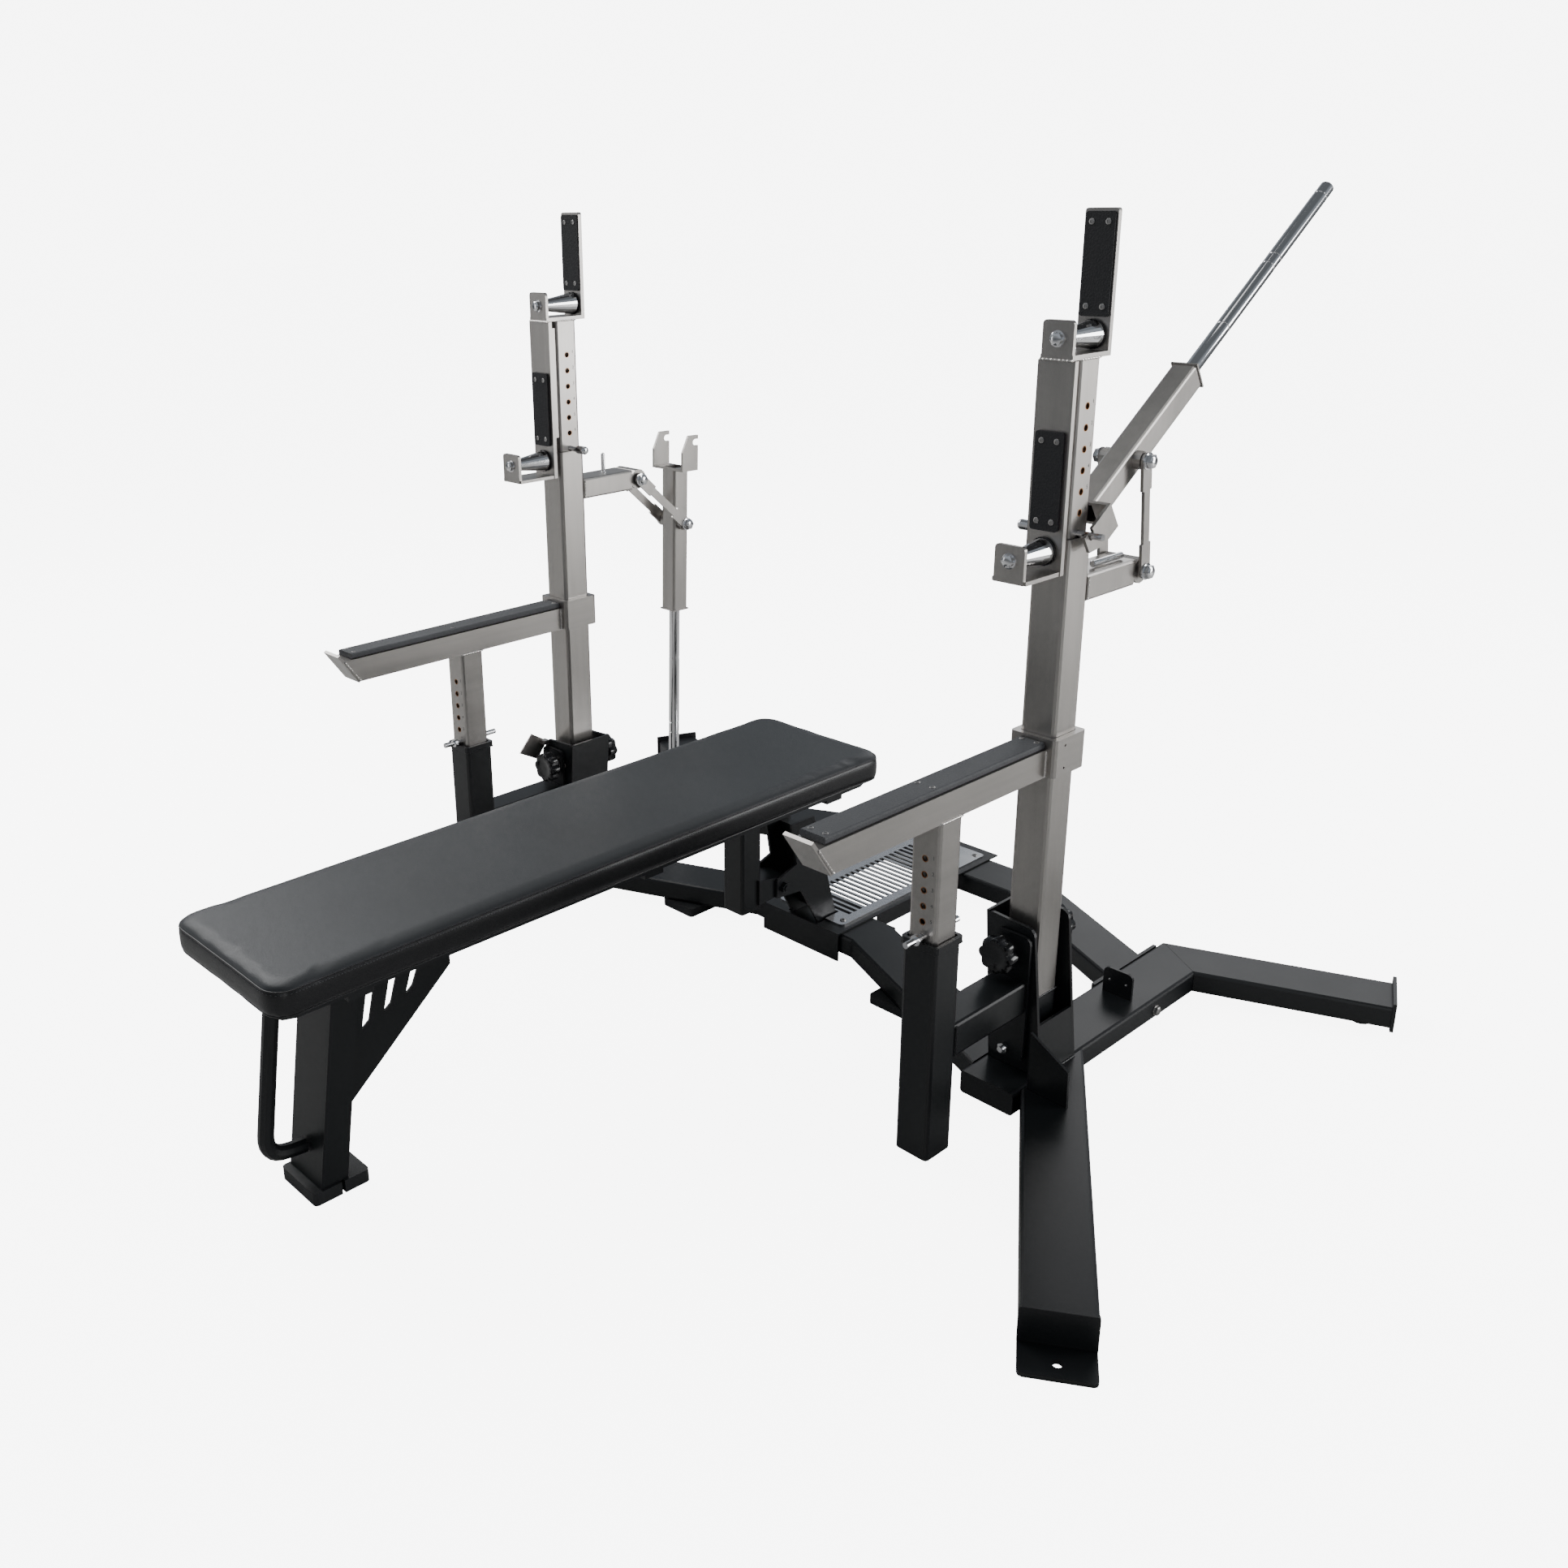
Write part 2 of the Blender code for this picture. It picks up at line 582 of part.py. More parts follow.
def rear_cross_member():
    add = [box((-0.245, 0.477, BASE_LOW), (0.245, 0.577, BASE_TOP), X)]
    cut = [box((-0.26, 0.480, BASE_LOW + WALL), (0.26, 0.574, BASE_TOP - WALL))]
    rail = RAIL_INNER - GAP
    for way in (-1, 1):
        start = Vector((way * 0.60, 0.343, MID_Z))
        end = Vector((way * 0.215, 0.530, MID_Z))
        add.append(beam(start, end, BASE_WIDTH, BASE_HEIGHT, 0.005))
        low, high = sorted((way * 0.530, way * rail))
        add.append(box((low, 0.275, BASE_LOW), (high, 0.483, BASE_TOP)))
        cut.append(beam(start, end, bore(BASE_WIDTH), bore(BASE_HEIGHT)))
        cut.append(half_space((way * rail, 0, MID_Z), (way, 0, 0)))
    # The exact solver leaves open edges where the flush stubs meet the slanted beams.
    solid("rear_cross_member", "black", add, cut, solver="MANIFOLD")


TREAD_X = 0.098
TREAD_LOW = BASE_TOP + GAP
TREAD_TOP = TREAD_LOW + 0.003
GRATE_X = 0.083
GRATE_FRONT = 0.115
GRATE_REAR = 0.575
SLOTS = 22
SLOT_FRONT = 0.165
SLOT_REAR = 0.500
SLOT_WIDTH = 0.0095


def platform_frame():
    add = [
        box((-TREAD_X, 0.0865, TREAD_LOW), (TREAD_X, 0.600, TREAD_TOP)),
        box((-TREAD_X, 0.0865, 0.003), (TREAD_X, 0.0895, TREAD_TOP)),
        box((-TREAD_X, 0.205, 0.030), (-TREAD_X + 0.003, 0.465, TREAD_TOP)),
        box((TREAD_X - 0.003, 0.205, 0.030), (TREAD_X, 0.465, TREAD_TOP)),
    ]
    cut = [
        box((-0.040, 0.096, 0.05), (0.040, 0.156, 0.1)),
        box((-0.070, 0.215, 0.05), (0.070, 0.455, 0.1)),
    ]
    solid("platform_frame", "black", add, cut)


def platform_grating():
    low = TREAD_TOP + GAP
    body = box((-GRATE_X, GRATE_FRONT, low), (GRATE_X, GRATE_REAR, low + 0.003), Z, 0.008)
    cut = [box((-0.040, 0.10, 0.05), (0.040, 0.156, 0.1))]
    pitch = (SLOT_REAR - SLOT_FRONT) / (SLOTS - 1)
    for row in range(SLOTS):
        low_y = SLOT_FRONT + row * pitch - SLOT_WIDTH / 2
        cut.append(box((-0.062, low_y, 0.05), (0.062, low_y + SLOT_WIDTH, 0.1)))
    solid("platform_grating", "grating", [body], cut)


# Bench
def bench_dock():
    outline = [
        (0.100, BASE_TOP + GAP),
        (0.152, BASE_TOP + GAP),
        (0.082, 0.290),
        (0.020, 0.290),
        (0.036, 0.205),
        (-0.018, 0.188),
        (-0.018, 0.152),
        (0.050, 0.145),
    ]
    web = [(0.120, 0.075), (0.140, 0.075), (0.075, 0.270), (0.055, 0.270)]
    add = [plate(outline, X, low, low + 0.005) for low in (-0.0360, 0.0310)]
    add.append(plate(web, X, -0.033, 0.033))
    add.append(rod((-0.046, 0, DOCK_Z), (0.046, 0, DOCK_Z), 0.0060))
    for way in (-1, 1):
        add.append(rod((way * 0.0355, 0, DOCK_Z), (way * 0.044, 0, DOCK_Z), 0.0105, sides=6))
    solid("bench_dock", "black", add)


def bench_pad():
    half = PAD_WIDTH / 2
    pad = box((-half, PAD_FOOT_Y, PAD_LOW), (half, PAD_HEAD_Y, PAD_TOP), Z, 0.035)
    solid("bench_pad", "vinyl", [pad], pivot=(0, 0, DOCK_Z))


BOARD_LOW = PAD_LOW - 0.012
SPINE_LOW = 0.332
LEG_LEAN = 0.158
LEG_Y = -0.986
LEG_HALF_X = 0.046
LEG_HALF_Y = 0.023


def leg_y(z):
    """Where the middle of the leaning leg is at a height."""
    return LEG_Y + (z - 0.03) * LEG_LEAN


def bench_board():
    board = box((-0.132, -1.085, BOARD_LOW), (0.132, 0.125, PAD_LOW - GAP), Z, 0.025)
    solid("bench_board", "black", [board], pivot=(0, 0, DOCK_Z))


def bench_frame():
    spine_top = BOARD_LOW - GAP
    leg_low, leg_high = 0.0215, 0.350
    leg = [
        (leg_y(leg_low) - LEG_HALF_Y, leg_low),
        (leg_y(leg_low) + LEG_HALF_Y, leg_low),
        (leg_y(leg_high) + LEG_HALF_Y, leg_high),
        (leg_y(leg_high) - LEG_HALF_Y, leg_high),
    ]
    leg_inside = LEG_HALF_Y - WALL
    inside = [
        (leg_y(0.0) - leg_inside, 0.0),
        (leg_y(0.0) + leg_inside, 0.0),
        (leg_y(0.328) + leg_inside, 0.328),
        (leg_y(0.328) - leg_inside, 0.328),
    ]
    tongue = [(-0.060, 0.150), (0.016, 0.154), (0.016, 0.186), (-0.060, 0.200)]
    add = [
        box((-0.030, -1.012, SPINE_LOW), (0.030, 0.100, spine_top), Y, 0.004),
        plate(leg, X, -LEG_HALF_X, LEG_HALF_X),
        square((0, -0.075), 0.050, 0.140, 0.345, 0.005),
        plate(tongue, X, -0.030, 0.030),
    ]
    for y in (-0.960, -0.410, 0.030):
        add.append(box((-0.130, y - 0.020, spine_top - 0.009), (0.130, y + 0.020, spine_top)))
    cut = [
        box((-0.027, -1.10, SPINE_LOW + WALL), (0.027, 0.200, spine_top - WALL)),
        plate(inside, X, -LEG_HALF_X + WALL, LEG_HALF_X - WALL),
        square((0, -0.075), bore(0.050), 0.10, 0.330, 0.003),
        rod((-0.05, 0, DOCK_Z), (0.05, 0, DOCK_Z), 0.0064),
    ]
    solid("bench_frame", "black", add, cut, pivot=(0, 0, DOCK_Z))


def bench_gusset():
    low, high = 0.085, SPINE_LOW - GAP
    outline = [
        (leg_y(low) + LEG_HALF_Y + GAP, low),
        (-0.728, 0.275),
        (-0.728, high),
        (leg_y(high) + LEG_HALF_Y + GAP, high),
    ]
    cut = []
    slot_top = 0.300
    for centre, bottom in ((-0.885, 0.226), (-0.845, 0.240), (-0.805, 0.254)):
        slot = [
            (centre - 0.008, bottom),
            (centre + 0.006, bottom + 0.010),
            (centre + 0.022, slot_top),
            (centre + 0.008, slot_top),
        ]
        cut.append(plate(slot, X, -0.01, 0.01))
    solid("bench_gusset", "black", [plate(outline, X, -0.002, 0.002)], cut, pivot=(0, 0, DOCK_Z))


def bench_handle():
    """A round bar that runs down parallel to the leg and bends back into it."""
    radius, bend = 0.0125, 0.040
    top = Vector((0, -1.0258, BOARD_LOW - 0.003))
    down = Vector((0, -LEG_LEAN, -1)).normalized()
    back = Vector((0, 1, -0.10)).normalized()
    corner = Vector((0, -1.0712, 0.083))
    start = corner - down * bend
    end = corner + back * bend
    reach = leg_y(0.075) - LEG_HALF_Y - 0.004
    last = end + back * ((reach - end.y) / back.y)
    curve = bpy.data.curves.new("bench_handle", "CURVE")
    curve.dimensions = "3D"
    curve.bevel_depth = radius
    curve.bevel_resolution = 3
    curve.use_fill_caps = True
    line = curve.splines.new("POLY")
    points = [top]
    for step in range(8):
        share = step / 7
        points.append(start * (1 - share) ** 2 + corner * 2 * share * (1 - share) + end * share ** 2)
    points.append(last)
    line.points.add(len(points) - 1)
    for point, where in zip(line.points, points):
        point.co = (*where, 1)
    drawn = bpy.data.objects.new("handle_curve", curve)
    tools.objects.link(drawn)
    graph = bpy.context.evaluated_depsgraph_get()
    bm = bmesh.new()
    bm.from_mesh(bpy.data.meshes.new_from_object(drawn.evaluated_get(graph)))
    bmesh.ops.remove_doubles(bm, verts=bm.verts, dist=1e-5)
    bpy.data.objects.remove(drawn)
    solid("bench_handle", "black", [tool(bm)], pivot=(0, 0, DOCK_Z))


def bench_foot():
    body = box((-0.050, -1.024, 0), (0.050, -0.929, 0.0212), Z, 0.006)
    cut = []
    for way in (-1, 1):
        low, high = sorted((way * 0.034, way * 0.060))
        cut.append(box((low, -0.9775, -0.01), (high, -0.9725, 0.03)))
    solid("bench_foot", "rubber", [body], cut, pivot=(0, 0, DOCK_Z))


def bracket_tab():
    """A square plate on edge beside the left bracket's front, with a small foot against it."""
    outline = [(-0.086, 0.331), (-0.046, 0.306), (-0.074, 0.271), (-0.119, 0.295)]
    upright = plate(outline, X, -0.6165, -0.6135)
    foot = box((-0.6150, -0.0640, 0.3035), (-0.600, -0.050 - GAP, 0.312))
    solid("left_bracket_tab", "silver", [upright, foot])


def both_sides():
    for word, side in SIDES.items():
        side_rail(f"{word}_side_rail", side)
        rear_leg(f"{word}_rear_leg", side)
        front_leg(f"{word}_front_leg", side)
        base_foot(f"{word}_base_foot", side)
        upright_bracket(f"{word}_upright_bracket", side)
        upright_tube(f"{word}_upright_tube", side)
        upright_sleeve(f"{word}_upright_sleeve", side)
        safety_post(f"{word}_safety_post", side)
        clamp_knob(f"{word}_clamp_knob", side)
        pivot_bolt(f"{word}_pivot_bolt", side)
        hook_tube(f"{word}_hook_tube", side)
        top_hook(f"{word}_top_hook", side)
        bench_hook(f"{word}_bench_hook", side)
        top_liner(f"{word}_top_liner", side)
        bench_liner(f"{word}_bench_liner", side)
        roller(f"{word}_top_roller", side, -0.0405, 0.0355, 1.207, 0.0095, 0.0205)
        roller(f"{word}_bench_roller", side, -0.1235, -0.0505, 0.9095, 0.0100, 0.0200)
        height_pin(f"{word}_height_pin", side)
        safety_arm(f"{word}_safety_arm", side)
        safety_liner(f"{word}_safety_liner", side)
        safety_pin(f"{word}_safety_pin", side)
        lever_link(f"{word}_lever_link", side)
        jack_lever(f"{word}_jack_lever", side)
        lever_handle(f"{word}_lever_handle", side)


both_sides()
front_cross_member()
rear_cross_member()
platform_frame()
platform_grating()
bench_dock()
bench_pad()
bench_board()
bench_frame()
bench_gusset()
bench_handle()
bench_foot()
bracket_tab()
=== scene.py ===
"""Looks of the olympic bench press: materials, padded bench, fasteners, welds, knobs and studio.

Everything is in metres: +Z up, +X to the right upright, +Y to the bench's head end. Places are worked
out from the point on the floor midway between the uprights, and LAYOUT moves them to the frame of the
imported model.
"""

import math
import random

import bmesh
import bpy
from mathutils import Matrix, Vector
from mathutils.bvhtree import BVHTree


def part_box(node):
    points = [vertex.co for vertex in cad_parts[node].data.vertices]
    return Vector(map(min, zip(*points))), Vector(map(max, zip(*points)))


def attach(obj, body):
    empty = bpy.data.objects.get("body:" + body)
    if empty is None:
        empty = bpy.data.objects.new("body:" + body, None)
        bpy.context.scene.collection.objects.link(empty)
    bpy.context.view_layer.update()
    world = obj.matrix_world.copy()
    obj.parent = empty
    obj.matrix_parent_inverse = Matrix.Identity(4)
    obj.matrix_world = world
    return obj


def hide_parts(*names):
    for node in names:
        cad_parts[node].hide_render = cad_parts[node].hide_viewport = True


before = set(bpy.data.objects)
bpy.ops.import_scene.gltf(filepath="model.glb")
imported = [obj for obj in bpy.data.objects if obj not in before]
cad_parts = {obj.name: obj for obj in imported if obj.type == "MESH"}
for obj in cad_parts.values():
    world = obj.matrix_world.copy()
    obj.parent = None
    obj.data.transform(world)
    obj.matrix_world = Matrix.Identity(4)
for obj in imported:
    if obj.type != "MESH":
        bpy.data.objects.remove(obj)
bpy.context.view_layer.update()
SIDES = {"right": 1, "left": -1}
LAYOUT = Vector((0, 0.950, 0))
random.seed(7)

# Upright, hook tube and safety post
TUBE_HALF = 0.030
INNER_HALF = 0.025
SLEEVE_TOP = 0.1803
POST_Y = -0.2665
POST_TOP = 0.3625
HOOK_PIN_Z = 0.9311
HOOK_PITCH = 0.0303
HOOK_HOLES = 6
HOOK_TOP = 1.178
SAFETY_PIN_Z = 0.3784
SAFETY_PITCH = 0.0251
SAFETY_HOLES = 5

# Lift arm, link and lever
ARM_PIVOT_Y = 0.175
ARM_PIVOT_Z = 0.846
ARM_TOP = 0.866
LINK_LENGTH = 0.1727
LINK_ANGLE = {"right": 97.35, "left": -41.6}
LEVER_ANGLE = {"right": 34.0, "left": -91.5}
NUT_X = 0.0385
HANDLE_RADIUS = 0.0115
HANDLE_START = 0.1955
HANDLE_END = 0.6720
GRIPS = [(0.110, 0.265), (0.285, 0.450)]
GROOVE = 0.0008


def box_of(node):
    """A node's lowest and highest corners, from the point midway between the uprights."""
    low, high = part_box(node)
    return Vector(low) - LAYOUT, Vector(high) - LAYOUT


def middle_of(node):
    low, high = box_of(node)
    return (low + high) / 2


def link_axles(word):
    """Where the near and the far axle of a side's link are."""
    turn = math.radians(LINK_ANGLE[word])
    near = Vector((middle_of(f"{word}_lever_link").x, ARM_PIVOT_Y, ARM_PIVOT_Z))
    return near, near + Vector((0, math.cos(turn), math.sin(turn))) * LINK_LENGTH


# Materials
def new_material(name, colour, roughness, metallic=0.0, coat=0.0):
    made = bpy.data.materials.new(name)
    made.use_nodes = True
    shader = made.node_tree.nodes["Principled BSDF"]
    shader.inputs["Base Color"].default_value = (*colour, 1.0)
    shader.inputs["Roughness"].default_value = roughness
    shader.inputs["Metallic"].default_value = metallic
    shader.inputs["Coat Weight"].default_value = coat
    return made, shader


def add_node(material, kind, **settings):
    node = material.node_tree.nodes.new(kind)
    for key, value in settings.items():
        if key in node.inputs:
            node.inputs[key].default_value = value
        else:
            setattr(node, key, value)
    return node


def link(material, start, end):
    material.node_tree.links.new(start, end)


def coordinates(material, stretch=(1, 1, 1)):
    """Object coordinates in metres, stretched along an axis for brushed looks."""
    source = add_node(material, "ShaderNodeTexCoord")
    mapping = add_node(material, "ShaderNodeMapping")
    mapping.inputs["Scale"].default_value = stretch
    link(material, source.outputs["Object"], mapping.inputs["Vector"])
    return mapping.outputs["Vector"]


def noise(material, vector, scale, detail=3.0, roughness=0.55):
    node = add_node(material, "ShaderNodeTexNoise", Scale=scale, Detail=detail, Roughness=roughness)
    link(material, vector, node.inputs["Vector"])
    return node.outputs["Fac"]


def ramp(material, value, stops):
    """A colour ramp; stops are (place, colour)."""
    node = add_node(material, "ShaderNodeValToRGB")
    while len(node.color_ramp.elements) < len(stops):
        node.color_ramp.elements.new(0.5)
    for element, (place, colour) in zip(node.color_ramp.elements, stops):
        element.position = place
        element.color = (*colour, 1.0)
    link(material, value, node.inputs["Fac"])
    return node.outputs["Color"]


def spread(material, value, low, high):
    """Maps a value of 0 to 1 onto low to high."""
    node = add_node(material, "ShaderNodeMapRange")
    node.inputs["To Min"].default_value = low
    node.inputs["To Max"].default_value = high
    link(material, value, node.inputs["Value"])
    return node.outputs["Result"]


def bump(material, shader, height, strength, distance):
    node = add_node(material, "ShaderNodeBump", Strength=strength, Distance=distance)
    link(material, height, node.inputs["Height"])
    link(material, node.outputs["Normal"], shader.inputs["Normal"])


def scaled(colour, factor):
    return tuple(channel * factor for channel in colour)


def steel(name, colour, roughness, metallic, stretch):
    """Satin steel: faint long streaks in colour and blotches in gloss over a fine grain."""
    made, shader = new_material(name, colour, roughness, metallic, 0.15)
    streaks = noise(made, coordinates(made, stretch), 9.0, 4.0)
    blotches = noise(made, coordinates(made), 7.0, 2.0)
    tint = ramp(made, streaks, [(0.3, scaled(colour, 0.93)), (0.7, scaled(colour, 1.05))])
    link(made, tint, shader.inputs["Base Color"])
    link(made, spread(made, blotches, roughness - 0.05, roughness + 0.07), shader.inputs["Roughness"])
    bump(made, shader, noise(made, coordinates(made), 900.0, 2.0), 0.06, 0.0002)
    return made


def powder_coat():
    """Satin black powder coat with a fine orange-peel surface."""
    colour = (0.0070, 0.0078, 0.0088)
    made, shader = new_material("black_steel", colour, 0.36)
    shader.inputs["Specular IOR Level"].default_value = 0.42
    soft = noise(made, coordinates(made), 5.0, 2.0)
    tint = ramp(made, soft, [(0.3, scaled(colour, 0.85)), (0.7, scaled(colour, 1.35))])
    link(made, tint, shader.inputs["Base Color"])
    link(made, spread(made, soft, 0.28, 0.40), shader.inputs["Roughness"])
    bump(made, shader, noise(made, coordinates(made), 650.0, 2.0), 0.10, 0.0002)
    return made


def chrome(name, roughness=0.09):
    made, shader = new_material(name, (0.82, 0.82, 0.83), roughness, 1.0)
    soft = noise(made, coordinates(made), 60.0, 2.0)
    link(made, spread(made, soft, roughness - 0.03, roughness + 0.06), shader.inputs["Roughness"])
    return made


def grained(name, colour, roughness, cell, strength, sheen=0.0):
    """Pebbled surface, from leather grain to the coarse hide of a liner."""
    made, shader = new_material(name, colour, roughness)
    shader.inputs["Sheen Weight"].default_value = sheen
    grain = add_node(made, "ShaderNodeTexVoronoi", feature="SMOOTH_F1")
    grain.inputs["Scale"].default_value = 1.0 / cell
    link(made, coordinates(made), grain.inputs["Vector"])
    soft = noise(made, coordinates(made), 6.0, 3.0)
    tint = ramp(made, soft, [(0.3, scaled(colour, 0.88)), (0.7, scaled(colour, 1.15))])
    link(made, tint, shader.inputs["Base Color"])
    gloss = spread(made, grain.outputs["Distance"], roughness - 0.05, roughness + 0.08)
    link(made, gloss, shader.inputs["Roughness"])
    bump(made, shader, grain.outputs["Distance"], strength, 0.0004)
    return made


def knurled():
    """Crossed fine diamonds cut into chrome, with painted shade darkening the lines between them."""
    made, shader = new_material("knurl", (0.78, 0.78, 0.78), 0.22, 1.0)
    cells = add_node(made, "ShaderNodeTexVoronoi", feature="F1", distance="MANHATTAN")
    cells.inputs["Scale"].default_value = 620.0
    cells.inputs["Randomness"].default_value = 0.15
    link(made, coordinates(made), cells.inputs["Vector"])
    # Painted shade: the colour darkens along the cut lines between the diamonds.
    tint = ramp(made, cells.outputs["Distance"], [(0.2, (0.90, 0.90, 0.90)), (0.9, (0.42, 0.42, 0.42))])
    link(made, tint, shader.inputs["Base Color"])
    bump(made, shader, cells.outputs["Distance"], 0.8, 0.0008)
    return made


SILVER = (0.42, 0.402, 0.382)
silver = steel("silver_steel", SILVER, 0.30, 0.92, (6, 6, 0.35))
silver_level = steel("silver_level", SILVER, 0.30, 0.92, (6, 0.35, 6))
weld_silver = steel("weld_silver", (0.62, 0.60, 0.57), 0.24, 0.95, (1, 1, 1))
black = powder_coat()
bright = chrome("chrome")
screw_steel = steel("screw_steel", (0.38, 0.37, 0.36), 0.30, 0.95, (1, 1, 1))
grate = steel("grating_steel", (0.70, 0.70, 0.71), 0.20, 1.0, (0.5, 5, 5))
liner = grained("liner", (0.012, 0.012, 0.014), 0.58, 0.0022, 1.0)
arm_liner = grained("arm_liner", (0.075, 0.078, 0.083), 0.62, 0.0022, 1.0)
vinyl = grained("vinyl", (0.022, 0.025, 0.028), 0.46, 0.0011, 0.30, 0.05)
# The pad's side, seam and trim: the same vinyl, painted darker as painted shade, and glossier.
vinyl_side_painted_shade = grained("vinyl_side_painted_shade", (0.005, 0.005, 0.006), 0.30, 0.0011, 0.22)
thread = grained("thread", (0.060, 0.062, 0.066), 0.55, 0.0008, 0.3)
rubber = grained("rubber", (0.014, 0.015, 0.016), 0.62, 0.0010, 0.4)
knob_black = grained("knob_black", (0.006, 0.006, 0.007), 0.16, 0.0020, 0.10)
bronze = steel("bronze_edge", (0.45, 0.24, 0.12), 0.42, 0.9, (1, 1, 1))
ink = grained("ink", (0.10, 0.10, 0.10), 0.6, 0.0015, 0.1)
knurl = knurled()

NODE_MATERIALS = {
    silver: ["upright_tube", "hook_tube", "top_hook", "bench_hook", "lever_link", "jack_lever"],
    silver_level: ["safety_arm"],
    black: ["side_rail", "rear_leg", "front_leg", "upright_bracket", "upright_sleeve", "safety_post"],
    bright: ["top_roller", "bench_roller", "height_pin", "safety_pin", "pivot_bolt", "lever_handle"],
    liner: ["top_liner", "bench_liner"],
    arm_liner: ["safety_liner"],
    rubber: ["base_foot"],
    knob_black: ["clamp_knob"],
}
MIDDLE_MATERIALS = {
    black: [
        "front_cross_member",
        "rear_cross_member",
        "platform_frame",
        "bench_dock",
        "bench_board",
        "bench_frame",
        "bench_gusset",
        "bench_handle",
    ],
    grate: ["platform_grating"],
    vinyl: ["bench_pad"],
    rubber: ["bench_foot"],
    silver: ["left_bracket_tab"],
}


def assign(obj, *materials):
    obj.data.materials.clear()
    for material in materials:
        obj.data.materials.append(material)


def paint_nodes():
    for material, names in NODE_MATERIALS.items():
        for name in names:
            for word in SIDES:
                assign(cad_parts[f"{word}_{name}"], material)
    for material, names in MIDDLE_MATERIALS.items():
        for name in names:
            assign(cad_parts[name], material)


paint_nodes()


# Mesh helpers
def place(mesh_or_curve, name, body, slot, *materials):
    """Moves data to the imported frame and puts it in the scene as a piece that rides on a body."""
    if not isinstance(mesh_or_curve, bpy.types.TextCurve):
        mesh_or_curve.transform(Matrix.Translation(LAYOUT))
    obj = bpy.data.objects.new(name, mesh_or_curve)
    bpy.context.scene.collection.objects.link(obj)
    assign(obj, *materials)
    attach(obj, body)
    return obj


def finished(bm, name, angle=35):
    """A smooth-shaded mesh with outward faces; edges sharper than the angle stay sharp."""
    bmesh.ops.recalc_face_normals(bm, faces=bm.faces)
    mesh = bpy.data.meshes.new(name)
    bm.to_mesh(mesh)
    bm.free()
    mesh.shade_smooth()
    mesh.set_sharp_from_angle(angle=math.radians(angle))
    return mesh


def add_rings(bm, rings, matrix, material_of=None):
    """Skins equal rings of points in turn and closes both ends."""
    loops = []
    for ring in rings:
        loops.append([bm.verts.new(matrix @ Vector(point)) for point in ring])
    count = len(loops[0])
    for row, (lower, upper) in enumerate(zip(loops, loops[1:])):
        for i in range(count):
            j = (i + 1) % count
            face = bm.faces.new((lower[i], lower[j], upper[j], upper[i]))
            if material_of:
                face.material_index = material_of(row)
    bm.faces.new(list(reversed(loops[0])))
    bm.faces.new(loops[-1])


def ellipse(half_length, half_width, height, sides):
    """A ring of points about +Z."""
    turns = [math.tau * i / sides for i in range(sides)]
    return [(half_length * math.cos(turn), half_width * math.sin(turn), height) for turn in turns]


def circle(radius, height, sides=24):
    return ellipse(radius, radius, height, sides)


def hexagon(apothem, height, sides=24):
    """A hexagonal ring with as many points as the circles it joins."""
    points = []
    for i in range(sides):
        turn = math.tau * i / sides
        from_flat = (turn % (math.pi / 3)) - math.pi / 6
        radius = apothem / math.cos(from_flat)
        points.append((radius * math.cos(turn), radius * math.sin(turn), height))
    return points


def facing(centre, direction):
    """The matrix that puts a shape's +Z along a direction at a centre."""
    turn = Vector(direction).to_track_quat("Z", "Y").to_matrix().to_4x4()
    return Matrix.Translation(Vector(centre)) @ turn


def turned(name, body, slot, material, rings, centre, direction, angle=35):
    """One piece skinned from rings along a direction."""
    bm = bmesh.new()
    add_rings(bm, rings, facing(centre, direction))
    return place(finished(bm, name, angle), name, body, slot, material)


def screw_rings(radius, height):
    """A low dome head with a hexagonal socket."""
    return [
        circle(radius, -0.0004),
        circle(radius, height * 0.35),
        circle(radius * 0.93, height * 0.75),
        circle(radius * 0.72, height),
        hexagon(radius * 0.46, height),
        hexagon(radius * 0.44, height * 0.35),
    ]


def bolt_rings(radius, height):
    """A flanged hexagon head with a domed end."""
    return [
        circle(radius * 1.18, -0.0004),
        circle(radius * 1.18, height * 0.16),
        hexagon(radius * 0.88, height * 0.20),
        hexagon(radius * 0.88, height * 0.78),
        circle(radius * 0.72, height * 0.92),
        circle(radius * 0.40, height),
    ]


def fasteners(name, body, material, rings, places):
    """Many like fasteners as one piece; places are (centre, direction)."""
    bm = bmesh.new()
    for centre, direction in places:
        add_rings(bm, rings, facing(centre, direction))
    return place(finished(bm, name), name, body, "chrome", material)


def round_line(name, radius, points, closed):
    """A round line through points, with a spline to adjust."""
    curve = bpy.data.curves.new(name, "CURVE")
    curve.dimensions = "3D"
    curve.bevel_depth = radius
    curve.bevel_resolution = 2
    spline = curve.splines.new("POLY")
    spline.points.add(len(points) - 1)
    for point, where in zip(spline.points, points):
        point.co = (*where, 1.0)
    spline.use_cyclic_u = closed
    return curve, spline


def bead(name, body, slot, material, corners, radius, closed=False):
    """A weld: a rippled round bead along a line of corners."""
    ripple = 0.0022
    ends = list(corners) + ([corners[0]] if closed else [])
    dense = []
    for start, end in zip(ends, ends[1:]):
        start, end = Vector(start), Vector(end)
        steps = max(2, round((end - start).length / ripple))
        for step in range(steps):
            dense.append(start.lerp(end, step / steps))
    if not closed:
        dense.append(Vector(ends[-1]))
    curve, spline = round_line(name, radius, dense, closed)
    curve.use_fill_caps = True
    for index, point in enumerate(spline.points):
        point.radius = 0.82 + 0.28 * (index % 3 == 0) + random.uniform(-0.06, 0.10)
    return place(curve, name, body, slot, material)


def ring_around(centre_x, centre_y, half, z, grow):
    """The four corners of a level square."""
    reach = half + grow
    return [
        (centre_x - reach, centre_y - reach, z),
        (centre_x + reach, centre_y - reach, z),
        (centre_x + reach, centre_y + reach, z),
        (centre_x - reach, centre_y + reach, z),
    ]


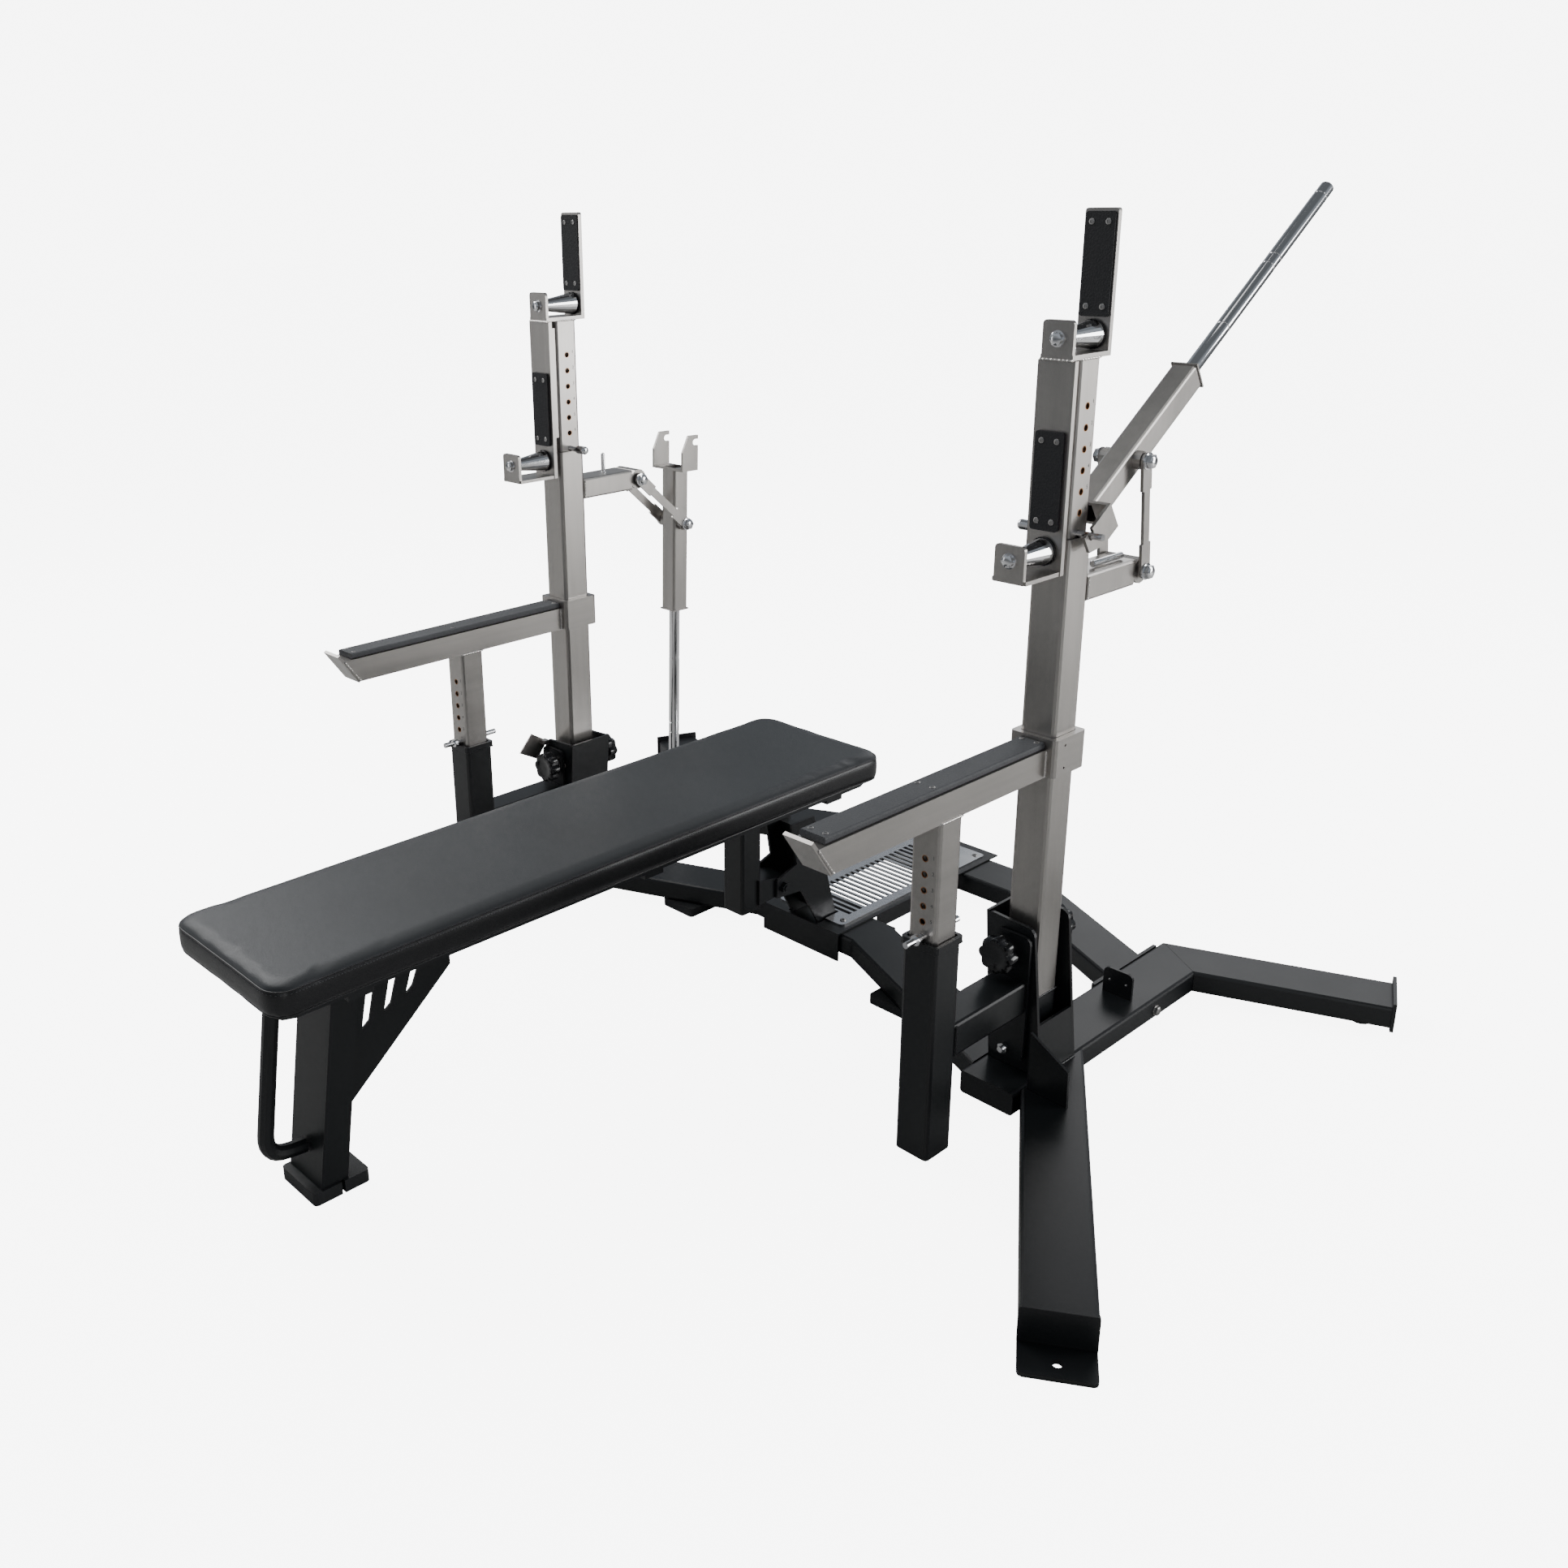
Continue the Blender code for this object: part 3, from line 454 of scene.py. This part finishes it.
# Bench pad
PAD_INSET = 0.0035
PAD_CAP = 0.0045
PAD_CORNER = 0.036
SEAM_DROP = 0.0105
STITCH_DROP = 0.0036
STITCH_PITCH = 0.0050


def pad_start():
    """The pad before it is stuffed: a rounded slab a little smaller than its space."""
    low, high = box_of("bench_pad")
    low += Vector((PAD_INSET, PAD_INSET, 0.0006))
    high -= Vector((PAD_INSET, PAD_INSET, PAD_INSET))
    bm = bmesh.new()
    bmesh.ops.create_cube(bm, size=1.0)
    bmesh.ops.scale(bm, vec=high - low, verts=bm.verts)
    bmesh.ops.translate(bm, vec=(low + high) / 2, verts=bm.verts)
    upright = [e for e in bm.edges if abs((e.verts[0].co - e.verts[1].co).z) > 0.01]
    bmesh.ops.bevel(bm, geom=upright, offset=PAD_CORNER, segments=8, profile=0.5, affect="EDGES")
    top = [e for e in bm.edges if min(v.co.z for v in e.verts) > high.z - 0.001]
    bmesh.ops.bevel(bm, geom=top, offset=0.0095, segments=4, profile=0.5, affect="EDGES")
    bottom = [e for e in bm.edges if max(v.co.z for v in e.verts) < low.z + 0.001]
    bmesh.ops.bevel(bm, geom=bottom, offset=0.003, segments=2, profile=0.5, affect="EDGES")
    mesh = bpy.data.meshes.new("pad")
    bm.to_mesh(mesh)
    bm.free()
    return mesh


def apply_modifiers(obj):
    graph = bpy.context.evaluated_depsgraph_get()
    obj.data = bpy.data.meshes.new_from_object(obj.evaluated_get(graph))
    obj.modifiers.clear()


def stuff(obj, cap):
    """Swells the cover over its foam with cloth pressure, then limits how far it moved."""
    before = [vertex.co.copy() for vertex in obj.data.vertices]
    cloth = obj.modifiers.new("cloth", "CLOTH")
    cloth.settings.use_pressure = True
    cloth.settings.uniform_pressure_force = 4.0
    cloth.settings.effector_weights.gravity = 0.0
    cloth.settings.quality = 4
    cloth.settings.tension_stiffness = 30.0
    cloth.settings.compression_stiffness = 30.0
    scene = bpy.context.scene
    for step in range(1, 21):
        scene.frame_set(step)
    apply_modifiers(obj)
    scene.frame_set(1)
    for vertex, start in zip(obj.data.vertices, before):
        move = vertex.co - start
        if move.length > cap:
            vertex.co = start + move.normalized() * cap


def fit_level(obj, low, high):
    """Stretches a piece level, so that it fills its CAD box again after smoothing."""
    for axis in (0, 1):
        places = [vertex.co[axis] for vertex in obj.data.vertices]
        start, span = min(places), max(places) - min(places)
        scale = (high[axis] - low[axis]) / span
        for vertex in obj.data.vertices:
            vertex.co[axis] = low[axis] + (vertex.co[axis] - start) * scale


def make_pad():
    """The padded cover, lighter on top than round its side: the side's darker colour is painted shade.
    """
    low, high = box_of("bench_pad")
    pad = place(pad_start(), "padded_cover", "bench", "vinyl", vinyl, vinyl_side_painted_shade)
    remesh = pad.modifiers.new("remesh", "REMESH")
    remesh.mode = "VOXEL"
    remesh.voxel_size = 0.006
    apply_modifiers(pad)
    relax = pad.modifiers.new("relax", "SMOOTH")
    relax.factor = 0.5
    relax.iterations = 6
    apply_modifiers(pad)
    stuff(pad, PAD_CAP)
    fit_level(pad, low + LAYOUT, high + LAYOUT)
    for vertex in pad.data.vertices:
        vertex.co.z = min(max(vertex.co.z, low.z + 0.0004), high.z)
    finer = pad.modifiers.new("finer", "SUBSURF")
    finer.levels = 1
    finer.render_levels = 1
    apply_modifiers(pad)
    assign(pad, vinyl, vinyl_side_painted_shade)
    seam_z = high.z - SEAM_DROP
    # Faces below the seam take the darker side vinyl, which is painted shade.
    for polygon in pad.data.polygons:
        polygon.material_index = int(polygon.center.z < seam_z)
    pad.data.shade_smooth()
    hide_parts("bench_pad")
    return pad


def pad_outline(tree, z, spacing, stand):
    """Points around the pad's side at a height, found on its surface, each with its way out."""
    low, high = box_of("bench_pad")
    corners = [
        (high.x - PAD_CORNER, low.y + PAD_CORNER, -90),
        (high.x - PAD_CORNER, high.y - PAD_CORNER, 0),
        (low.x + PAD_CORNER, high.y - PAD_CORNER, 90),
        (low.x + PAD_CORNER, low.y + PAD_CORNER, 180),
    ]
    path = []
    for x, y, start in corners:
        for step in range(9):
            turn = math.radians(start + step * 11.25)
            path.append((Vector((x, y, z)), Vector((math.cos(turn), math.sin(turn), 0))))
    found = []
    for (base, out), (base_next, out_next) in zip(path, path[1:] + path[:1]):
        start, end = base + out * PAD_CORNER, base_next + out_next * PAD_CORNER
        steps = max(1, round((end - start).length / spacing))
        for step in range(steps):
            way = out.lerp(out_next, step / steps).normalized()
            where = start.lerp(end, step / steps) + way * 0.02
            hit, _, _, _ = tree.ray_cast(where + LAYOUT, -way)
            if hit:
                found.append((hit - LAYOUT + way * stand, way))
    return found


def make_seams(pad):
    """The seam below the top panel with its stitches, and the trim round the bottom."""
    low, high = box_of("bench_pad")
    tree = BVHTree.FromObject(pad, bpy.context.evaluated_depsgraph_get())
    seam_z = high.z - SEAM_DROP
    for name, z, radius in (("top_seam", seam_z, 0.0014), ("bottom_trim", low.z + 0.0040, 0.0016)):
        points = [where for where, _ in pad_outline(tree, z, 0.012, 0.0002)]
        curve, _ = round_line(name, radius, points, True)
        # The seam and trim take the side's darker vinyl, which is painted shade.
        place(curve, name, "bench", "vinyl", vinyl_side_painted_shade)
    stitch = [
        ellipse(0.0018, 0.0005, 0.0, 8),
        ellipse(0.0013, 0.0005, 0.0006, 8),
        ellipse(0.0004, 0.0002, 0.0008, 8),
    ]
    bm = bmesh.new()
    up = Vector((0, 0, 1))
    for where, way in pad_outline(tree, seam_z - STITCH_DROP, STITCH_PITCH, 0.0):
        turn = Matrix((up.cross(way), up, way)).transposed().to_4x4()
        add_rings(bm, stitch, Matrix.Translation(where) @ turn)
    place(finished(bm, "stitches", 60), "stitches", "bench", "vinyl", thread)


make_seams(make_pad())


# Fasteners on the hooks, liners and levers
def liner_corners(node):
    """Where the four screws on a hook's liner go."""
    low, high = box_of(node)
    inset_x, inset_z = 0.0105, 0.0135
    places = []
    for x in (low.x + inset_x, high.x - inset_x):
        for z in (low.z + inset_z, high.z - inset_z):
            places.append(((x, low.y, z), (0, -1, 0)))
    return places


def liner_screws():
    rings = screw_rings(0.0044, 0.0010)
    for word in SIDES:
        places = liner_corners(f"{word}_top_liner") + liner_corners(f"{word}_bench_liner")
        fasteners(f"{word}_liner_screws", f"{word}_carriage", screw_steel, rings, places)
        low, high = box_of(f"{word}_safety_liner")
        places = []
        for share in (0.022, 0.475, 0.985):
            y = low.y + (high.y - low.y) * share
            for x in (low.x + 0.0095, high.x - 0.0095):
                places.append(((x, y, high.z), (0, 0, 1)))
        fasteners(f"{word}_arm_screws", f"{word}_safety", screw_steel, rings, places)


def hook_bolts():
    """A bolt head on each hook's lip, at the end of its roller."""
    for word in SIDES:
        places = []
        for name in ("top", "bench"):
            low, _ = box_of(f"{word}_{name}_hook")
            middle = middle_of(f"{word}_{name}_roller")
            places.append(((middle.x, low.y + 0.0062, middle.z), (0, -1, 0)))
        fasteners(f"{word}_roller_bolts", f"{word}_carriage", bright, bolt_rings(0.0098, 0.0080), places)


def link_nuts():
    """Domed nuts over the ends of both axles of each link."""
    for word in SIDES:
        places = []
        for axle in link_axles(word):
            for way in (-1, 1):
                places.append((axle + Vector((way * NUT_X, 0, 0)), (way, 0, 0)))
        fasteners(f"{word}_link_nuts", f"{word}_link", bright, bolt_rings(0.0112, 0.0120), places)


liner_screws()
hook_bolts()
link_nuts()


# Star knobs
STAR_DEPTH = 0.0318


def star_ring(radius, depth, height, lobes=8, sides=96):
    points = []
    for i in range(sides):
        turn = math.tau * i / sides
        wave = 0.5 + 0.5 * math.cos(lobes * turn)
        reach = radius - depth * (1 - wave ** 0.7)
        points.append((reach * math.cos(turn), reach * math.sin(turn), height))
    return points


def star_knob(name, body, centre, direction):
    """A scalloped clamp knob with a dished face and a collar."""
    rings = [
        circle(0.0150, 0.000, 96),
        circle(0.0150, 0.006, 96),
        star_ring(0.0280, 0.0030, 0.0065),
        star_ring(0.0315, 0.0046, 0.0095),
        star_ring(0.0318, 0.0050, 0.0130),
        star_ring(0.0316, 0.0048, 0.0255),
        star_ring(0.0302, 0.0042, 0.0285),
        star_ring(0.0275, 0.0034, 0.0300),
        circle(0.0190, 0.0300, 96),
        circle(0.0175, 0.0292, 96),
        circle(0.0060, 0.0290, 96),
    ]
    return turned(name, body, "knob", knob_black, rings, centre, direction, 30)


def clamp_knobs():
    """A star knob at each end of a clamp rod with a washer inside each knob."""
    for word in SIDES:
        node, body = f"{word}_clamp_knob", f"{word}_knob"
        low, high = box_of(node)
        middle = (low + high) / 2
        front_end = (middle.x, low.y + STAR_DEPTH, middle.z)
        rear_end = (middle.x, high.y - STAR_DEPTH, middle.z)
        front = star_knob(f"{word}_front_star", body, front_end, (0, -1, 0))
        rear = star_knob(f"{word}_rear_star", body, rear_end, (0, 1, 0))
        rings = [
            circle(0.0165, low.y + 0.0300),
            circle(0.0165, low.y + 0.0350),
            circle(0.0060, low.y + 0.0352),
            circle(0.0060, high.y - 0.0352),
            circle(0.0165, high.y - 0.0350),
            circle(0.0165, high.y - 0.0300),
        ]
        on_axis = (middle.x, 0, middle.z)
        rod = turned(f"{word}_clamp_rod", body, "chrome", screw_steel, rings, on_axis, (0, 1, 0))
        for piece in (front, rear, rod):
            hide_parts(node)


clamp_knobs()


# Lever handles
def grip_stations(start, end):
    """The (place, radius) stations of one knurled grip between two grooves."""
    radius = HANDLE_RADIUS
    return [
        (start, radius),
        (start + 0.0006, radius - GROOVE),
        (start + 0.0026, radius - GROOVE),
        (start + 0.0032, radius + 0.0002),
        (end - 0.0032, radius + 0.0002),
        (end - 0.0026, radius - GROOVE),
        (end - 0.0006, radius - GROOVE),
        (end, radius),
    ]


def lever_handles():
    """A chrome bar with a welded root, two knurled grips between grooves and a chamfered end."""
    stations = [(HANDLE_START, HANDLE_RADIUS + 0.0015), (HANDLE_START + 0.004, HANDLE_RADIUS)]
    kinds = [0]
    for start, end in GRIPS:
        stations += grip_stations(HANDLE_START + start, HANDLE_START + end)
        kinds += [0, 0, 0, 0, 1, 0, 0, 0]
    stations += [(HANDLE_END - 0.0022, HANDLE_RADIUS), (HANDLE_END, HANDLE_RADIUS - 0.0022)]
    kinds += [0, 0]
    rings = [circle(reach, along, 40) for along, reach in stations]
    for word in SIDES:
        turn = math.radians(LEVER_ANGLE[word])
        _, pivot = link_axles(word)
        bm = bmesh.new()
        matrix = facing(pivot, (0, math.cos(turn), math.sin(turn)))
        add_rings(bm, rings, matrix, lambda row: kinds[row])
        mesh = finished(bm, f"{word}_grip_bar", 40)
        bar = place(mesh, f"{word}_grip_bar", f"{word}_lever", "chrome", bright, knurl)
        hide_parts(f"{word}_lever_handle")


lever_handles()


# Hole rims and stamped numbers
def add_rim(bm, centre, direction, outer=0.00552, inner=0.0047, depth=0.0030, sides=20):
    """A short open sleeve: outer wall, face, inner wall and back."""
    matrix = facing(centre, direction)
    loops = []
    for radius, height in ((outer, depth), (outer, 0.0), (inner, 0.0), (inner, depth)):
        ring = circle(radius, height, sides)
        loops.append([bm.verts.new(matrix @ Vector(point)) for point in ring])
    for lower, upper in zip(loops, loops[1:] + loops[:1]):
        for i in range(sides):
            j = (i + 1) % sides
            bm.faces.new((lower[i], lower[j], upper[j], upper[i]))


def hole_rims():
    """Raw bronze-coloured edges in the adjustment holes."""
    for word in SIDES:
        x = middle_of(f"{word}_hook_tube").x
        bm = bmesh.new()
        for row in range(1, HOOK_HOLES + 1):
            for way in (-1, 1):
                centre = (x + way * (INNER_HALF + 0.0002), 0, HOOK_PIN_Z + HOOK_PITCH * row)
                add_rim(bm, centre, (-way, 0, 0))
        name = f"{word}_hook_hole_rims"
        place(finished(bm, name), name, f"{word}_carriage", "silver_steel", bronze)
        bm = bmesh.new()
        for row in range(1, SAFETY_HOLES + 1):
            centre = (x, POST_Y - INNER_HALF - 0.0002, SAFETY_PIN_Z + SAFETY_PITCH * row)
            add_rim(bm, centre, (0, 1, 0))
        name = f"{word}_arm_hole_rims"
        place(finished(bm, name), name, f"{word}_safety", "silver_steel", bronze)


def numbers(name, body, count, pitch, where, turn):
    """Small stamped digits, one below the other at the hole pitch."""
    text = bpy.data.curves.new(name, "FONT")
    text.body = "\n".join(str(row + 1) for row in range(count))
    text.size = 0.0085
    text.extrude = 0.00012
    text.align_x = "CENTER"
    text.space_line = pitch / text.size
    obj = place(text, name, body, "silver_steel", ink)
    obj.matrix_world = Matrix.Translation(Vector(where) + LAYOUT) @ turn


def stamped_numbers():
    facing_front = Matrix.Rotation(math.radians(90), 4, "X")
    facing_x = Matrix.Rotation(math.radians(90), 4, "Z") @ facing_front
    for word in SIDES:
        low, high = box_of(f"{word}_hook_tube")
        where = (high.x + 0.0001, 0.0145, 1.1155)
        numbers(f"{word}_hook_numbers", f"{word}_carriage", HOOK_HOLES, HOOK_PITCH, where, facing_x)
        where = ((low.x + high.x) / 2 + 0.015, POST_Y - INNER_HALF - 0.0001, 0.506)
        numbers(f"{word}_arm_numbers", f"{word}_safety", SAFETY_HOLES, SAFETY_PITCH, where, facing_front)


hole_rims()
stamped_numbers()


# Welds
LIP_Y = -0.0468
BEAM_Y = -0.0412
BEAM_LOW, BEAM_HIGH = 0.566, 0.607
STEM_TOP = 0.5635
TIP_Y = (-0.5195, -0.5490)
LIFT_ROOT_Y = 0.0306
STAY_Y = -0.2365
BRACKET_EDGES = {"inner": 0.542, "outer": 0.640}


def carriage_welds(word, x):
    body = f"{word}_carriage"
    low, high = box_of(f"{word}_hook_tube")
    middle = (low + high) / 2
    loop = ring_around(middle.x, middle.y, (high.x - low.x) / 2, high.z + 0.0004, -0.0005)
    bead(f"{word}_hook_weld", body, "silver_steel", weld_silver, loop, 0.0022, True)
    lip = [(x - 0.026, LIP_Y, HOOK_TOP + 0.0002), (x + 0.026, LIP_Y, HOOK_TOP + 0.0002)]
    bead(f"{word}_lip_weld", body, "silver_steel", weld_silver, lip, 0.0022)


def collar_welds(word, x):
    upright = f"{word}_upright"
    sleeve = ring_around(x, 0, TUBE_HALF, SLEEVE_TOP, -0.0006)
    bead(f"{word}_sleeve_weld", upright, "black_steel", black, sleeve, 0.0024, True)
    collar = ring_around(x, POST_Y, TUBE_HALF, POST_TOP, 0.0002)
    bead(f"{word}_collar_weld", upright, "black_steel", black, collar, 0.0022, True)
    stem = ring_around(x, POST_Y, INNER_HALF, STEM_TOP, -0.0004)
    bead(f"{word}_stem_weld", f"{word}_safety", "silver_steel", weld_silver, stem, 0.0022, True)


def cheek_welds(word, x):
    """The beads that run along both faces of the safety arm, the lift arm and the post's stay."""
    upright, safety = f"{word}_upright", f"{word}_safety"
    for way in (-1, 1):
        beam_x = x + way * (INNER_HALF + 0.0002)
        tube_x = x + way * (TUBE_HALF + 0.0002)
        front = [(beam_x, BEAM_Y, BEAM_LOW), (beam_x, BEAM_Y, BEAM_HIGH)]
        bead(f"{word}_beam_weld_{way + 2}", safety, "silver_steel", weld_silver, front, 0.0026)
        tip = [(beam_x, TIP_Y[0], BEAM_LOW), (beam_x, TIP_Y[1], BEAM_HIGH)]
        bead(f"{word}_tip_weld_{way + 2}", safety, "silver_steel", weld_silver, tip, 0.0022)
        root = [(tube_x, LIFT_ROOT_Y, 0.829), (tube_x, LIFT_ROOT_Y, 0.862)]
        bead(f"{word}_lift_arm_weld_{way + 2}", upright, "silver_steel", weld_silver, root, 0.0020)
        stay = [(tube_x, STAY_Y, 0.169), (tube_x, STAY_Y, 0.220)]
        bead(f"{word}_stay_weld_{way + 2}", upright, "black_steel", black, stay, 0.0022)


def bracket_welds(word, sign):
    for edge, x in BRACKET_EDGES.items():
        line = [(x * sign, -0.048, 0.0588), (x * sign, 0.048, 0.0588)]
        bead(f"{word}_bracket_weld_{edge}", "base", "black_steel", black, line, 0.0026)


def side_welds():
    for word, sign in SIDES.items():
        x = middle_of(f"{word}_hook_tube").x
        carriage_welds(word, x)
        collar_welds(word, x)
        cheek_welds(word, x)
        bracket_welds(word, sign)


side_welds()


# Pins and trim on the lift arms and hooks
PIN_Y = {"right": 0.058, "left": 0.105}


def storage_pins():
    """A slim round-topped pin stands in each lift arm; a rod lies along the right one."""
    rings = [
        circle(0.0060, -0.0004),
        circle(0.0060, 0.0012),
        circle(0.0042, 0.0020),
        circle(0.0042, 0.0360),
        circle(0.0036, 0.0388),
        circle(0.0020, 0.0402),
    ]
    for word in SIDES:
        where = (middle_of(f"{word}_upright_tube").x, PIN_Y[word], ARM_TOP)
        turned(f"{word}_storage_pin", f"{word}_upright", "chrome", bright, rings, where, (0, 0, 1))
    rod = [circle(0.0042, 0.0), circle(0.0052, 0.0012), circle(0.0052, 0.0790), circle(0.0042, 0.0802)]
    start = (middle_of("right_upright_tube").x + 0.012, 0.066, ARM_TOP + 0.0065)
    turned("right_lift_rod", "right_upright", "chrome", bright, rod, start, (0, 1, 0))


def bushes_and_heads():
    """A dark washer between each roller and its hook, and a rounded head on each height pin."""
    bush = [circle(0.0212, 0.0002), circle(0.0212, 0.0040)]
    dome = [
        circle(0.0080, -0.0004),
        circle(0.0080, 0.0012),
        circle(0.0066, 0.0038),
        circle(0.0034, 0.0052),
    ]
    for word, sign in SIDES.items():
        carriage = f"{word}_carriage"
        for name in ("top", "bench"):
            low, high = box_of(f"{word}_{name}_roller")
            middle = (low + high) / 2
            where = (middle.x, high.y, middle.z)
            turned(f"{word}_{name}_bush", carriage, "chrome", knob_black, bush, where, (0, 1, 0))
        low, high = box_of(f"{word}_height_pin")
        where = (low.x if sign > 0 else high.x, 0, (low.z + high.z) / 2)
        turned(f"{word}_pin_head", f"{word}_carriage_pin", "chrome", bright, dome, where, (-sign, 0, 0))


storage_pins()
bushes_and_heads()


# Platform and floor-frame fasteners
def frame_bolts():
    top = box_of("platform_grating")[1].z
    places = [((x, y, top), (0, 0, 1)) for x in (-0.070, 0.070) for y in (0.133, 0.557)]
    fasteners("grating_screws", "base", screw_steel, screw_rings(0.0060, 0.0022), places)
    places = []
    for word, sign in SIDES.items():
        low, high = box_of(f"{word}_side_rail")
        x = high.x if sign > 0 else low.x
        places.append(((x, 0.311, 0.034), (sign, 0, 0)))
    fasteners("rail_bolts", "base", screw_steel, bolt_rings(0.0085, 0.0080), places)


frame_bolts()


# Studio
PALE_GLOW = 7.0
SKY_GLOW = PALE_GLOW + 0.25


def camera_or_not(made, seen, unseen, output):
    """Mixes two shaders: one that the camera sees, one that lights and reflections see."""
    path = add_node(made, "ShaderNodeLightPath")
    mix = add_node(made, "ShaderNodeMixShader")
    link(made, path.outputs["Is Camera Ray"], mix.inputs["Fac"])
    link(made, unseen, mix.inputs[1])
    link(made, seen, mix.inputs[2])
    link(made, mix.outputs["Shader"], output.inputs["Surface"])


def studio_floor():
    """A glowing white floor to the camera, and a plain grey one to everything it reflects in."""
    mesh = bpy.data.meshes.new("floor")
    bm = bmesh.new()
    bmesh.ops.create_grid(bm, x_segments=1, y_segments=1, size=30.0)
    bm.to_mesh(mesh)
    bm.free()
    floor = bpy.data.objects.new("floor", mesh)
    bpy.context.scene.collection.objects.link(floor)
    pale, shader = new_material("pale_floor", (0.90, 0.90, 0.90), 0.8)
    shader.inputs["Emission Color"].default_value = (1.0, 1.0, 1.0, 1.0)
    shader.inputs["Emission Strength"].default_value = PALE_GLOW
    quiet = add_node(pale, "ShaderNodeBsdfDiffuse", Color=(0.55, 0.545, 0.535, 1.0))
    output = pale.node_tree.nodes["Material Output"]
    camera_or_not(pale, shader.outputs["BSDF"], quiet.outputs["BSDF"], output)
    assign(floor, pale)


def studio_world():
    """Pale behind the object; a soft band of grey above the horizon in what it reflects."""
    world = bpy.data.worlds.new("studio")
    world.use_nodes = True
    seen = world.node_tree.nodes["Background"]
    seen.inputs["Color"].default_value = (1.0, 1.0, 1.0, 1.0)
    seen.inputs["Strength"].default_value = SKY_GLOW
    unseen = add_node(world, "ShaderNodeBackground", Strength=1.0)
    source = add_node(world, "ShaderNodeTexCoord")
    split = add_node(world, "ShaderNodeSeparateXYZ")
    link(world, source.outputs["Generated"], split.inputs["Vector"])
    band = [(0.0, (0.20, 0.21, 0.22)), (0.35, (0.36, 0.39, 0.43)), (0.75, (0.12, 0.13, 0.14))]
    link(world, ramp(world, split.outputs["Z"], band), unseen.inputs["Color"])
    output = world.node_tree.nodes["World Output"]
    camera_or_not(world, seen.outputs["Background"], unseen.outputs["Background"], output)
    bpy.context.scene.world = world


def studio_lights():
    """Each light is (name, place, target, width, height, power)."""
    lights = [
        ("key", (-3.0, -0.6, 3.4), (0, 0, 0.6), 2.6, 2.6, 125),
        ("fill", (3.2, 2.4, 1.2), (1.2, 0.8, 0), 1.6, 2.0, 80),
        ("edge", (2.6, -2.4, 0.7), (0.2, -0.2, 0.6), 0.5, 1.4, 5),
        ("back", (-0.8, 3.8, 2.4), (0, 0, 0.6), 2.4, 1.4, 22),
        ("top", (0.4, -0.2, 4.2), (0, 0, 0), 2.2, 2.2, 20),
        ("side", (-3.0, -2.8, 0.9), (0, 0, 0.6), 1.2, 1.4, 6),
    ]
    for name, where, target, width, height, power in lights:
        lamp = bpy.data.lights.new(name, "AREA")
        lamp.shape = "RECTANGLE"
        lamp.size = width
        lamp.size_y = height
        lamp.energy = power
        obj = bpy.data.objects.new(name, lamp)
        obj.matrix_world = facing(Vector(where) + LAYOUT, Vector(where) - Vector(target))
        obj.visible_camera = False
        bpy.context.scene.collection.objects.link(obj)


def camera():
    """The photograph's camera: heading 48.5 degrees, 19.3 degrees down, 1.3 degrees of roll."""
    heading, pitch, roll = (math.radians(value) for value in (48.514, 19.340, 1.315))
    level = Vector((math.cos(heading), math.sin(heading), 0))
    ahead = Vector((-math.sin(heading), math.cos(heading), 0))
    forward = ahead * math.cos(pitch) - Vector((0, 0, math.sin(pitch)))
    down = forward.cross(level)
    right = level * math.cos(roll) + down * math.sin(roll)
    below = -level * math.sin(roll) + down * math.cos(roll)
    turn = Matrix((right, -below, -forward)).transposed().to_4x4()
    data = bpy.data.cameras.new("camera")
    data.sensor_width = 36.0
    data.lens = 34.01
    data.shift_x = 0.0886
    data.shift_y = -0.0453
    obj = bpy.data.objects.new("camera", data)
    obj.matrix_world = Matrix.Translation(Vector((1.7562, -1.8596, 1.4078)) + LAYOUT) @ turn
    bpy.context.scene.collection.objects.link(obj)
    bpy.context.scene.camera = obj


studio_floor()
studio_world()
studio_lights()
camera()
